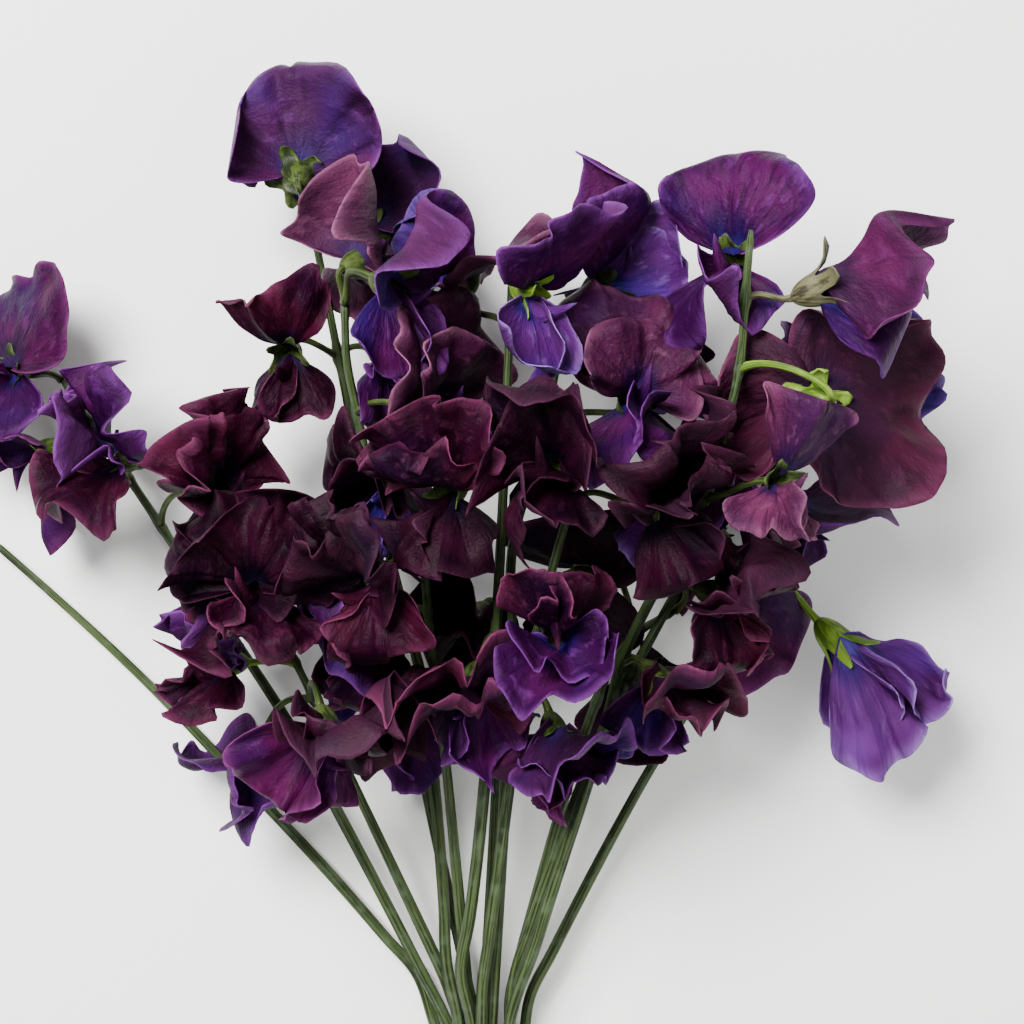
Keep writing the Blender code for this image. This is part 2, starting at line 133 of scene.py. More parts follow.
# name: calyx base, the way the flower faces, the way its standard points, size.
BLOSSOMS = {
    "a1": ((-49, 238, 40), (-0.1, 0.35, -0.9), (0.0, 1.0, 0.25), 1.06),
    "a2": ((-46, 232, 18), (0.5, 0.2, -0.4), (0.25, 1.0, 0.1), 1.0),
    "a3": ((-56, 196, 36), (-0.15, -0.5, 0.7), (-0.1, 0.9, 0.5), 0.95),
    "a4": ((-38, 197, 34), (0.7, -0.3, 0.25), (0.2, 0.8, 0.4), 0.95),
    "a5": ((-27, 165, 30), (-0.2, -0.5, 0.4), (0.1, 1.0, 0.2), 1.0),
    "b1": ((-39, 212, 56), (0.4, 0.2, -0.5), (0.05, 0.9, 0.5), 1.0),
    "b2": ((-29, 206, 57), (0.7, -0.35, 0.35), (0.1, 1.0, 0.3), 1.0),
    "b3": ((-23, 182, 66), (0.7, 0.0, 0.45), (-0.2, 0.8, 0.4), 1.0),
    "c1": ((9, 210, 76), (0.8, -0.5, 0.3), (0.5, 0.8, 0.2), 0.95),
    "c2": ((-7, 209, 50), (-0.15, 0.9, 0.3), (0.9, 0.1, 0.4), 0.95),
    "c3": ((-4, 101, 56), (-0.3, -0.8, 0.4), (-0.3, -0.3, 0.8), 1.0),
    "d1": ((27, 206, 52), (0.75, 0.5, 0.2), (-0.6, 0.75, 0.4), 1.0),
    "d2": ((34, 192, 32), (0.5, 0.3, -0.2), (0.2, 0.7, 0.6), 0.95),
    "d3": ((48, 177, 72), (0.2, 0.25, 0.9), (0.1, 1.0, -0.1), 1.15),
    "e1": ((77, 217, 56), (-0.35, 0.1, 0.7), (0.0, 1.0, 0.1), 1.05),
    "e2": ((80, 206, 84), (0.9, 0.3, 0.25), (-0.2, 0.8, 0.55), 1.1),
    "e3": ((99, 174, 93), (-0.3, -0.1, -0.9), (1.0, 0.05, -0.1), 1.15),
    "e4": ((80, 156, 98), (0.35, -0.1, 0.85), (0.35, 0.9, 0.1), 0.9),
    "e5": ((46, 112, 52), (0.5, -0.7, 0.35), (0.6, -0.2, 0.5), 1.0),
    "f1": ((67, 177, 44), (0.7, -0.3, 0.4), (0.1, 0.9, 0.5), 1.0),
    "f2": ((50, 164, 56), (0.5, -0.6, 0.5), (0.6, 0.5, 0.5), 0.95),
    "f3": ((88, 152, 26), (0.4, -0.5, -0.1), (0.6, -0.1, 0.6), 0.95),
    "f4": ((108, 186, 40), (0.95, 0.05, -0.1), (0.2, 0.9, 0.2), 0.85),
    "g1": ((73, 128, 50), (-0.2, -0.4, 0.85), (0.15, -0.95, -0.3), 1.0),
    "g2": ((101, 112, 30), (0.66, -0.74, 0.12), (0.3, 0.25, 0.9), 1.1),
    "g3": ((74, 136, 22), (-0.4, 0.2, -0.1), (0.0, 0.9, -0.2), 0.95),
    "h1": ((20, 156, 84), (-0.35, 0.2, 0.8), (0.0, 1.0, 0.0), 1.05),
    "h2": ((43, 149, 78), (0.85, -0.1, 0.4), (0.0, 0.9, 0.5), 1.0),
    "h3": ((20, 111, 78), (0.0, 0.1, 0.9), (0.05, -1.0, 0.2), 0.87),
    "i1": ((-6, 154, 72), (-0.6, -0.3, 0.6), (-0.2, 0.9, 0.3), 1.0),
    "i2": ((-26, 133, 63), (-0.6, -0.5, 0.45), (-0.4, 0.8, 0.4), 1.0),
    "i3": ((-24, 114, 50), (-0.8, -0.4, 0.3), (-0.3, 0.8, 0.3), 1.0),
    "i4": ((-25, 97, 42), (-0.3, -0.8, 0.4), (-0.5, -0.1, 0.7), 1.0),
    "j1": ((58, 117, 52), (0.85, -0.3, 0.35), (0.1, 0.9, 0.4), 0.95),
    "j2": ((38, 107, 31), (0.5, -0.5, 0.4), (0.1, 1.0, 0.3), 1.0),
    "j3": ((26, 134, 36), (-0.3, -0.4, 0.5), (0.0, 1.0, 0.3), 1.0),
    "k1": ((17, 90, 50), (0.2, -0.8, 0.4), (0.4, -0.2, 0.8), 0.95),
    "k2": ((-6, 118, 34), (-0.3, -0.5, 0.5), (0.1, 1.0, 0.2), 1.0),
    "l1": ((-104, 160, 30), (-0.7, 0.2, 0.45), (-0.2, 0.9, 0.3), 1.0),
    "l2": ((-83, 152, 38), (0.6, 0.0, 0.55), (0.1, 0.9, 0.4), 1.0),
    "l3": ((-140, 188, 12), (-0.5, 0.1, 0.75), (0.1, 1.0, 0.0), 1.0),
    "l4": ((-130, 168, 15), (-0.6, -0.5, 0.3), (-0.4, -0.7, 0.2), 0.95),
    "m1": ((-54, 121, 48), (-0.25, 0.1, 0.8), (-0.1, 0.9, 0.2), 1.08),
    "m2": ((-70, 102, 34), (-0.85, 0.0, 0.35), (-0.3, 0.8, 0.3), 1.0),
    "m3": ((-38, 98, 46), (0.2, -0.8, 0.45), (0.6, 0.1, 0.5), 1.1),
    "m4": ((-66, 80, 17), (-0.3, -0.75, 0.1), (-0.5, -0.3, -0.6), 1.0),
}


def unit(vector: Array) -> Array:
    """The vector at length one."""
    return vector / np.linalg.norm(vector)


def square_to(vector: Array, axis: Array) -> Array:
    """The unit vector nearest to this one that is square to the axis."""
    return unit(vector - axis * np.dot(vector, axis))


def smooth_route(points: list, count: int) -> Array:
    """A Catmull-Rom curve through points.

    Args:
        points: The points that it passes.
        count: How many evenly spaced points to give back.

    Returns:
        The curve's points, one a row.
    """
    ends = [2 * points[0] - points[1], *points, 2 * points[-1] - points[-2]]
    fine = []
    for p0, p1, p2, p3 in zip(ends, ends[1:], ends[2:], ends[3:]):
        for t in np.linspace(0, 1, 12, endpoint=False):
            fine.append(
                0.5 * (2 * p1 + (p2 - p0) * t + (2 * p0 - 5 * p1 + 4 * p2 - p3) * t**2
                       + (3 * p1 - p0 - 3 * p2 + p3) * t**3)
            )
    fine = np.array([*fine, points[-1]])
    run = np.concatenate([[0], np.cumsum(np.linalg.norm(np.diff(fine, axis=0), axis=1))])
    wanted = np.linspace(0, run[-1], count)
    return np.stack([np.interp(wanted, run, fine[:, i]) for i in range(3)], axis=1)


def stem_start(place: int, layer: int, first: Array) -> list:
    """Where a stem runs from its cut end to the neck.

    Args:
        place: Its place across its layer of the pile.
        layer: Its layer, from the surface up.
        first: The first point that it passes above the neck.

    Returns:
        The cut end, the waist and the neck.
    """
    in_layer = LOWEST_LAYER - layer
    across = (place - (in_layer - 1) / 2) * SLOT_WIDTH
    height = STEM_RADIUS + layer * LAYER_HEIGHT
    cut = CUT_Y + CUT_STAGGER * math.sin(2.4 * place + 1.7 * layer)
    waist = np.array((across, WAIST_Y, height + WAIST_LIFT))
    neck = waist + (first - waist) * (0.0 - WAIST_Y) / (first[1] - WAIST_Y)
    return [np.array((across * CUT_SPREAD, cut, height)), waist, neck]


def stem_routes() -> dict[str, Array]:
    """Each stem's route before the blossoms settle."""
    routes = {}
    for letter, (slot, passes) in STEMS.items():
        passes = [np.array(p, float) for p in passes]
        points = stem_start(*slot, passes[0]) + passes
        routes[letter] = smooth_route(points, STEM_POINTS)
    return routes


def push_apart(gaps: Array, reach: Array) -> Array:
    """How far pairs that are too close should open up.

    Args:
        gaps: The offset from one to the other of each pair.
        reach: How far apart they should be.

    Returns:
        One push for each gap, along it.
    """
    distance = np.linalg.norm(gaps, axis=-1)
    short = np.clip(reach - distance, 0, None)
    return gaps / np.maximum(distance, 1e-6)[..., None] * short[..., None]


def nearest_joints(stems: Array, owner: Array, calyx: Array, axis: Array) -> Array:
    """Where the stalks grow from: behind and a little below their calyxes.

    Args:
        stems: Each stem's points.
        owner: Each blossom's stem.
        calyx: Each blossom's calyx base.
        axis: The way that each blossom faces.

    Returns:
        For each blossom, the number of the point on its stem.
    """
    wanted = calyx - 7 * axis - (0, 5, 0)
    distance = np.linalg.norm(stems[owner] - wanted[:, None], axis=2)
    return np.argmin(distance, axis=1)


def rim(angle: float) -> tuple[float, float]:
    """The wavy rim of the solid petals, at size 1.

    Args:
        angle: Round the flower's axis, from the standard.

    Returns:
        How far out the rim is, and how far forward.
    """
    share = 0.5 + 0.5 * math.cos(angle)
    wave = 0.7 * math.cos(5 * angle)
    reach = WING_REACH + (STANDARD_REACH - WING_REACH) * share + 0.5 * wave
    rise = WING_RISE + (STANDARD_RISE - WING_RISE) * share + wave
    return reach, rise


def floor_lift(calyx: Array, axis: Array, top: Array, size: Array) -> Array:
    """How far each blossom has to rise for its lowest point to touch the surface.

    Args:
        calyx: Each blossom's calyx base.
        axis: The way that it faces.
        top: The way that its standard points.
        size: Its size.

    Returns:
        The rises, below zero for a blossom clear of the surface.
    """
    side = np.cross(axis, top)
    lowest = np.zeros(len(calyx))
    for angle in np.linspace(0, 2 * math.pi, CUP_SIDES, endpoint=False):
        reach, rise = rim(angle)
        out = math.cos(angle) * top[:, 2] + math.sin(angle) * side[:, 2]
        lowest = np.minimum(lowest, size * (reach * out + rise * axis[:, 2]))
        lowest = np.minimum(lowest, size * ((reach - PETAL_WALL) * out + (rise + 0.8) * axis[:, 2]))
    lowest = np.minimum(lowest, size * (KEEL_HEIGHT * axis[:, 2]))
    return -(calyx[:, 2] + lowest)


def bend_round(stems: Array, shift: Array, centre: Array, reach: Array) -> Array:
    """Bends the stems round balls.

    Args:
        stems: Each stem's points.
        shift: How far each of them moves in this round. The bend is added to it.
        centre: The balls' middles.
        reach: How far the stems keep from each middle.

    Returns:
        How far the balls push the stems off, one push for each ball.
    """
    run = stems[:, 1:] - stems[:, :-1]
    along = np.einsum("bsic,sic->bsi", centre[:, None, None] - stems[None, :, :-1], run)
    along = np.clip(along / (run**2).sum(-1)[None], 0, 1)
    near = stems[None, :, :-1] + along[..., None] * run[None]
    push = push_apart(near - centre[:, None, None], reach[:, None, None])
    shift[:, :-1] += (0.6 * push * (1 - along[..., None])).sum(axis=0)
    shift[:, 1:] += (0.6 * push * along[..., None]).sum(axis=0)
    return push.sum(axis=(1, 2))


def keep_apart(stems: Array, shift: Array) -> None:
    """Pushes the stems off each other, where points on them come too close.

    Args:
        stems: Each stem's points.
        shift: How far each of them moves in this round. The push is added to it.
    """
    share = np.array((0.0, 1 / 3, 2 / 3))
    run = stems[:, 1:] - stems[:, :-1]
    samples = (stems[:, :-1, None] + share[:, None] * run[:, :, None]).reshape(-1, 3)
    owner = np.repeat(np.arange(len(stems)), len(samples) // len(stems))
    push = push_apart(samples[:, None] - samples[None], STEM_ROOM)
    push[owner[:, None] == owner[None]] = 0
    push = 0.4 * push.sum(axis=1).reshape(len(stems), -1, len(share), 3)
    shift[:, :-1] += (push * (1 - share)[:, None]).sum(axis=2)
    shift[:, 1:] += (push * share[:, None]).sum(axis=2)


@dataclass(frozen=True)
class Place:
    """Where one blossom has settled, in millimetres from the neck."""

    calyx: Array
    axis: Array
    top: Array
    size: float
    joint: int


def settle(routes: dict[str, Array]) -> tuple[dict[str, Place], dict[str, Array]]:
    """Lets the blossoms and stems push each other apart, as they do in the solid frame.

    Args:
        routes: Each stem's route by its letter.

    Returns:
        Each blossom's place by its name, and each stem's route by its letter.
    """
    names = list(BLOSSOMS)
    letters = list(routes)
    home = np.array([BLOSSOMS[n][0] for n in names], float)
    axis = np.array([unit(np.array(BLOSSOMS[n][1], float)) for n in names])
    top = np.array([square_to(np.array(BLOSSOMS[n][2], float), a) for n, a in zip(names, axis)])
    size = np.array([BLOSSOMS[n][3] for n in names])
    owner = np.array([letters.index(n[0]) for n in names])
    own = np.arange(len(names))
    offset = (FORWARD_OF_CALYX * axis + ABOVE_CALYX * top) * size[:, None]
    room = ROOM * size
    calyx_room = np.full(len(names), STEM_FROM_CALYX)
    calyx = home.copy()
    stems = np.array([routes[k] for k in letters])
    pinned = stems[:, :, 1] < NECK_TOP
    joint = nearest_joints(stems, owner, calyx, axis)
    for turn in range(ROUNDS):
        late = turn > LATE_ROUNDS
        hold = 0.1 if late else 1.0
        if not late:
            joint = nearest_joints(stems, owner, calyx, axis)
        start = stems[owner, joint]
        middle = calyx + offset
        gaps = middle[:, None] - middle[None]
        move = push_apart(gaps, room[:, None] + room[None] + ROOM_GAP).sum(axis=1) * 0.5
        # Calyxes and the middles of the stalks keep out of every other blossom.
        for centre, reach, weight in (
            (calyx - 2 * axis, CALYX_ROOM, 0.5), (0.5 * (calyx + start), STALK_ROOM, 0.4),
        ):
            push = push_apart(centre[:, None] - middle[None], room[None] + reach)
            push[own, own] = 0
            move += weight * push.sum(axis=1) - weight * push.sum(axis=0)
        shift = np.zeros_like(stems)
        move -= 0.15 * bend_round(stems, shift, middle, room + STEM_FROM_ROOM)
        move -= 0.15 * bend_round(stems, shift, calyx, calyx_room)
        keep_apart(stems, shift)
        # A stalk is neither too long nor too short.
        pull = calyx - start
        length = np.linalg.norm(pull, axis=1)
        wanted = np.clip(length, STALK_SHORTEST, STALK_LONGEST)
        pull *= ((length - wanted) / np.maximum(length, 1e-6))[:, None]
        move -= 0.25 * hold * pull
        np.add.at(shift, (owner, joint), 0.25 * hold * pull)
        # Stems stay smooth, and blossoms lean back to their places.
        straighter = np.zeros_like(stems)
        straighter[:, 1:-1] = 0.5 * (stems[:, :-2] + stems[:, 2:]) - stems[:, 1:-1]
        shift += 0.35 * hold * straighter
        shift[pinned] = 0
        stems += np.clip(shift, -MOST_MOVE, MOST_MOVE)
        move += (home - calyx) * (0.0 if late else 0.05) * (1.6, 1.6, 1.0)
        move[:, 2] -= 0.5 * np.clip(middle[:, 2] + 15 * size - CEILING, 0, None)
        # They move more easily up and down than sideways.
        calyx += np.clip(move * (0.35, 0.35, 1.0), -MOST_MOVE, MOST_MOVE)
        calyx[:, 2] += np.clip(floor_lift(calyx, axis, top, size), 0, MOST_MOVE)
        stems[:, :, 2] = np.maximum(stems[:, :, 2], STEM_RADIUS)
    lift = floor_lift(calyx, axis, top, size)
    calyx[:, 2] += np.where(lift > -MOST_SINK, lift, 0)
    places = {n: Place(calyx[i], axis[i], top[i], size[i], joint[i]) for i, n in enumerate(names)}
    return places, dict(zip(letters, stems))


def linear(code: str) -> tuple[float, float, float, float]:
    """An sRGB hex colour, such as "#5a1f7a", as Blender's linear RGBA."""
    channels = [int(code[i : i + 2], 16) / 255 for i in (1, 3, 5)]
    bent = [c / 12.92 if c <= 0.04045 else ((c + 0.055) / 1.055) ** 2.4 for c in channels]
    return (*bent, 1.0)


def dice(name: str) -> np.random.Generator:
    """A piece's own random numbers, the same in every run."""
    return np.random.default_rng(sum(ord(c) * 31**i for i, c in enumerate(name)))


def at_least(values: Array, least: float, softness: float) -> Array:
    """The values, eased so that none comes below the least."""
    return least + softness * np.log1p(np.exp((values - least) / softness))


def to_frame(points: Array, above: float = 0.3, softness: float = 0.8) -> Array:
    """Points from the neck in millimetres, as the frame's metres.

    Args:
        points: One point a row.
        above: How close to the table a point may come. Lower ones lie flat on it.
        softness: How far from the table it starts to lift a point.

    Returns:
        The points in the frame.
    """
    points = np.array(points, float)
    points[:, 2] = at_least(points[:, 2], above, softness)
    points[:, 2] = PETAL_CEILING - at_least(PETAL_CEILING - points[:, 2], 0.0, CEILING_SOFTNESS)
    return (points - MIDDLE) * MM


def bend(angle_at: Callable[[Array], Array], reach: float, places: Array) -> tuple[Array, Array]:
    """Where a strip goes that turns as it runs.

    Args:
        angle_at: The strip's angle, in radians, at each distance along it.
        reach: How far along it to go.
        places: The distances along the strip to give back, up to reach.

    Returns:
        The run along the strip's first direction, and the rise across it.
    """
    steps = np.linspace(0, reach, BEND_STEPS)
    angles = angle_at(steps)
    middle = 0.5 * (angles[1:] + angles[:-1])
    step = steps[1] - steps[0]
    run = np.concatenate([[0], np.cumsum(np.cos(middle) * step)])
    rise = np.concatenate([[0], np.cumsum(np.sin(middle) * step)])
    return np.interp(places, steps, run), np.interp(places, steps, rise)


@dataclass(frozen=True)
class Petal:
    """A petal as a fan of veins from its claw, bent across and along.

    Lengths are in millimetres and angles in degrees.
    """

    length: float = 32.0
    spread: float = 98.0  # half of the fan
    taper: float = 0.15  # how much shorter the side veins are
    notch: float = 0.1  # how deep its tip is notched
    skew: float = 0.0  # how much longer one side is than the other
    fold: float = 6.0  # each half's tilt off the midline, towards the front
    roll: float = 0.0  # how much more it tilts by its side margins
    sweep: float = 30.0  # how far its tip bends back
    crease: float = 1.1  # how deep the midline is
    crumple: float = 1.0  # how high the small crumples are, all over
    ruffle: float = 3.2  # how high the waves of its margin are
    waves: float = 2.9  # crests and troughs from the midline to a side
    sway: float = 5.5  # broad S-shaped folds from claw to margin
    flap: float = 80.0  # how far each half folds over, one way or the other
    flap_at: float = 0.42  # where, as a share of the length
    curls: int = 2  # lobes of the margin that roll over
    curl: float = 95.0
    lobes: float = 0.09  # how uneven the outline is
    folds: tuple = ()  # set folds: heading, start, angle, width
    funnel: float = 3.0  # how far back the claw lies
    columns: int = 70
    rows: int = 20

    def own_folds(self, draw: np.random.Generator) -> list:
        """A fold over each half and curls along the margin.

        Args:
            draw: Where they come from.

        Returns:
            Each fold's heading off the midline in degrees, its start as a share of the
            length, its angle in degrees, and its width in millimetres.
        """
        folds = []
        for way in (-1, 1):
            turn = self.flap * draw.uniform(0.45, 1.25) * draw.choice((-1, -1, 1))
            folds.append((
                way * draw.uniform(48, 100), self.flap_at + draw.uniform(-0.12, 0.16), turn,
                draw.uniform(7, 12),
            ))
        for _ in range(self.curls):
            turn = self.curl * draw.uniform(0.5, 1.3) * draw.choice((-1, -1, 1))
            folds.append((
                self.spread * draw.uniform(-0.8, 0.8), draw.uniform(0.62, 0.8), turn,
                draw.uniform(4, 8),
            ))
        return folds

    def reach(self, side: Array, phase: Array) -> Array:
        """How far each vein runs, with a lobed and notched outline.

        Args:
            side: The vein's place in the fan, from -1 to 1.
            phase: The outline's phases.

        Returns:
            The veins' lengths.
        """
        lumps = 1 + self.lobes * np.sin(5.3 * side + phase[0])
        lumps += 0.45 * self.lobes * np.sin(11 * side + phase[1])
        return (
            self.length
            * (1 - self.taper * side**2)
            * np.sqrt(1 - 0.97 * side**4)
            * (1 - self.notch * np.exp(-((side / 0.13) ** 2)))
            * (1 + self.skew * side)
            * lumps
        )

    def fold_over(self, x: Array, y: Array, front: Array, folds: list) -> tuple:
        """Turns over what lies beyond each fold.

        Args:
            x: The points' places to the petal's side.
            y: Their places along its midline.
            front: Their places towards its front.
            folds: The folds, as own_folds gives them.

        Returns:
            The three places after folding.
        """
        for heading, start, most, width in folds:
            away = np.array((math.sin(math.radians(heading)), math.cos(math.radians(heading))))
            beyond = np.clip(x * away[0] + y * away[1] - start * self.length, 0, None)
            most = math.radians(most)
            run, rise = bend(
                lambda s: most * np.clip(s / width, 0, 1) ** 1.2, 1.6 * self.length, beyond
            )
            x = x + away[0] * (run - beyond)
            y = y + away[1] * (run - beyond)
            front = front + rise
        return x, y, front

    def shape(self, across: Array, along: Array, draw: np.random.Generator) -> Array:
        """The petal's own points: X to its side, Y along its midline, Z to its front.

        Args:
            across: From -1 to 1 over the fan.
            along: From 0 at the claw to 1 at the margin.
            draw: Where its waves' phases come from.

        Returns:
            One point a row.
        """
        phase = draw.uniform(0, 2 * math.pi, 12)
        stretch = draw.uniform(0.85, 1.15, 4)
        folds = list(self.folds) or self.own_folds(draw)
        # Columns stand closer together towards the sides, and rows towards the margin.
        side = 0.5 * across + 0.5 * np.sin(across * math.pi / 2)
        share = along**0.85
        reach = self.reach(side, phase) * share
        waves = math.pi * self.waves * stretch[0]
        angle = math.radians(self.spread) * side
        angle = angle + 0.8 * self.ruffle / self.length * share**3 * np.cos(waves * side + phase[2])
        front = self.sway * share**1.3 * np.sin(1.15 * math.pi * side + phase[9])
        x, y, front = self.fold_over(reach * np.sin(angle), reach * np.cos(angle), front, folds)
        # Both halves tilt and roll off the midline.
        run, rise = bend(
            lambda s: math.radians(self.fold) * (1 - np.exp(-s / 3))
            + math.radians(self.roll) * (s / (0.75 * self.length)) ** 2,
            1.5 * self.length,
            np.abs(x),
        )
        wave = (
            np.sin(waves * side + phase[2] + 0.9 * share)
            + 0.5 * np.sin(1.7 * stretch[1] * waves * side + phase[3] - 1.4 * share)
            + 0.38 * share * np.sin(2.9 * stretch[2] * waves * side + phase[4])
        )
        front = front + rise + self.ruffle * share**2.2 * wave / 1.25
        front -= self.crease * np.exp(-((x / 1.5) ** 2)) * np.sqrt(share) * (1.15 - share)
        front += self.crumple * share * (
            np.sin(x / 4.9 + phase[5]) * np.sin(y / 6.3 + phase[6])
            + 0.5 * np.sin(x / 2.3 + y / 7 + phase[7]) * np.sin(y / 3.3 + phase[8])
            + 0.4 * np.sin(x / 1.5 - y / 6 + phase[10]) * np.sin(y / 2.1 + x / 8 + phase[11])
        )
        front -= self.funnel * np.exp(-((reach / (0.17 * self.length)) ** 2))
        # The whole petal leans back along its length.
        turn = math.radians(self.sweep) / self.length**2
        up, back = bend(lambda s: turn * s**2, 1.5 * self.length, np.abs(y))
        lean = turn * y * np.abs(y)
        return np.column_stack((
            np.sign(x) * run,
            np.sign(y) * up + np.sin(lean) * front,
            np.cos(lean) * front - back,
        ))


def add_sheet(bm: bmesh.types.BMesh, columns: int, rows: int, shape: Shape) -> list:
    """Adds a grid and lays it in its shape.

    Args:
        bm: Where the grid goes.
        columns: Faces across.
        rows: Faces along.
        shape: Turns places across, from -1 to 1, and along, from 0 to 1, into metres.

    Returns:
        The grid's vertices.
    """
    made = bmesh.ops.create_grid(
        bm, x_segments=columns, y_segments=rows, size=1.0, calc_uvs=True
    )["verts"]
    flat = np.array([v.co[:2] for v in made])
    for vertex, point in zip(made, shape(flat[:, 0], flat[:, 1] / 2 + 0.5)):
        vertex.co = point
    return made


def add_tube(bm: bmesh.types.BMesh, sides: int, rows: int, shape: Shape) -> None:
    """Adds a grid wrapped round into a tube, with its seam and its closed ends joined.

    Args:
        bm: Where the tube goes.
        sides: Faces round it.
        rows: Faces along it.
        shape: Turns angles round it and places along, from 0 to 1, into metres.
    """
    made = add_sheet(bm, sides, rows, lambda a, b: shape(math.pi * (a + 1), b))
    bmesh.ops.remove_doubles(bm, verts=made, dist=4e-7)


def new_mesh() -> bmesh.types.BMesh:
    """An empty bmesh with a UV map."""
    bm = bmesh.new()
    bm.loops.layers.uv.new("UVMap")
    return bm


def route_frames(route: Array) -> tuple[Array, Array, Array]:
    """Which way a route runs, and two sides of it that don't twist.

    Args:
        route: Its points.

    Returns:
        At each point, its direction and two unit vectors square to it and each other.
    """
    along = np.gradient(route, axis=0)
    along /= np.linalg.norm(along, axis=1)[:, None]
    first = square_to(np.array((0.3, 0.2, 1.0)), along[0])
    sides = [first]
    for direction in along[1:]:
        sides.append(square_to(sides[-1], direction))
    sides = np.array(sides)
    return along, sides, np.cross(along, sides)


def ring(angle: Array, first: Array, second: Array) -> Array:
    """The unit vectors at these angles round a route, from its two sides."""
    return np.cos(angle)[:, None] * first + np.sin(angle)[:, None] * second


def add_node(tree: bpy.types.NodeTree, kind: str, inputs: dict | None = None,
             **settings: str) -> bpy.types.Node:
    """Adds a node.

    Args:
        tree: The material's tree.
        kind: The node's type, such as "ShaderNodeMix".
        inputs: By input name or index, values, or what feeds it: a socket, or a node, whose
            first output in use feeds it.
        **settings: The node's own settings.

    Returns:
        The node.
    """
    made = tree.nodes.new(kind)
    for key, value in settings.items():
        setattr(made, key, value)
    for key, value in (inputs or {}).items():
        if isinstance(value, bpy.types.Node):
            value = next(socket for socket in value.outputs if socket.enabled)
        if isinstance(value, bpy.types.NodeSocket):
            tree.links.new(value, made.inputs[key])
        else:
            made.inputs[key].default_value = value
    return made


def blank_material(name: str) -> tuple[bpy.types.Material, bpy.types.NodeTree]:
    """A material with an empty tree, and the tree."""
    made = bpy.data.materials.new(name)
    made.use_nodes = True
    made.node_tree.nodes.clear()
    return made, made.node_tree


class Skin:
    """A living skin's material: grains, coats of colour that follow them, and a shader."""

    def __init__(self, name: str, drift: float) -> None:
        """Starts the material.

        Args:
            name: Its name.
            drift: How far the grains that follow its veins wander, for a metre of the bunch.
        """
        self.material, self.tree = blank_material(name)
        place = add_node(self.tree, "ShaderNodeTexCoord")
        self.solid, self.along = place.outputs["Object"], place.outputs["UV"]
        self.wander = add_node(
            self.tree, "ShaderNodeVectorMath", {0: self.solid, 1: (drift,) * 3},
            operation="MULTIPLY",
        )

    def add_grains(self, *grains: tuple) -> list[bpy.types.Node]:
        """Adds noises.

        Args:
            *grains: For each, how much finer than the UV map it is across and along, or None
                where it fills the solid, then its scale, detail and roughness.

        Returns:
            The noises.
        """
        made = []
        for stretch, scale, detail, roughness in grains:
            space = self.solid
            if stretch:
                space = add_node(
                    self.tree, "ShaderNodeVectorMath",
                    {0: self.along, 1: (*stretch, 0.0), 2: self.wander}, operation="MULTIPLY_ADD",
                )
            made.append(add_node(
                self.tree, "ShaderNodeTexNoise",
                {"Vector": space, "Scale": scale, "Detail": detail, "Roughness": roughness},
            ))
        return made

    def paint(self, body: str, *coats: tuple) -> bpy.types.Node:
        """Lays coats of colour over each other.

        Args:
            body: The colour under them.
            *coats: For each, its colour, what it follows, where on that it starts and is
                full, how much of it shows, and, where something thins it, by how much.

        Returns:
            The node that gives the colour.
        """
        colour = linear(body)
        for tone, source, start, full, most, *thinned in coats:
            factor = add_node(
                self.tree, "ShaderNodeMapRange",
                {"Value": source, "From Min": start, "From Max": full, "To Max": most},
                interpolation_type="SMOOTHSTEP",
            )
            for share in thinned:
                factor = add_node(
                    self.tree, "ShaderNodeMath", {0: factor, 1: share}, operation="MULTIPLY"
                )
            colour = add_node(
                self.tree, "ShaderNodeMix", {0: factor, 6: colour, 7: linear(tone)},
                data_type="RGBA",
            )
        return colour

    def finish(self, colour: bpy.types.Node, depth: float, height: bpy.types.Node,
               *ridges: tuple, **skin: float | tuple) -> bpy.types.Material:
        """Adds the bump and the shader.

        Args:
            colour: Its colour.
            depth: How deep the bump is, in metres.
            height: The finest grain.
            *ridges: Each further grain and its weight against the finest one.
            **skin: The shader's other inputs, with _ for a space.

        Returns:
            The material.
        """
        for grain, weight in ridges:
            height = add_node(
                self.tree, "ShaderNodeMath", {0: grain, 1: weight, 2: height},
                operation="MULTIPLY_ADD",
            )
        bump = add_node(
            self.tree, "ShaderNodeBump", {"Strength": 0.6, "Distance": depth, "Height": height}
        )
        inputs = {key.replace("_", " "): value for key, value in skin.items()}
        shader = add_node(
            self.tree, "ShaderNodeBsdfPrincipled",
            {"Base Color": colour, "Normal": bump, **inputs},
        )
        add_node(self.tree, "ShaderNodeOutputMaterial", {0: shader})
        return self.material


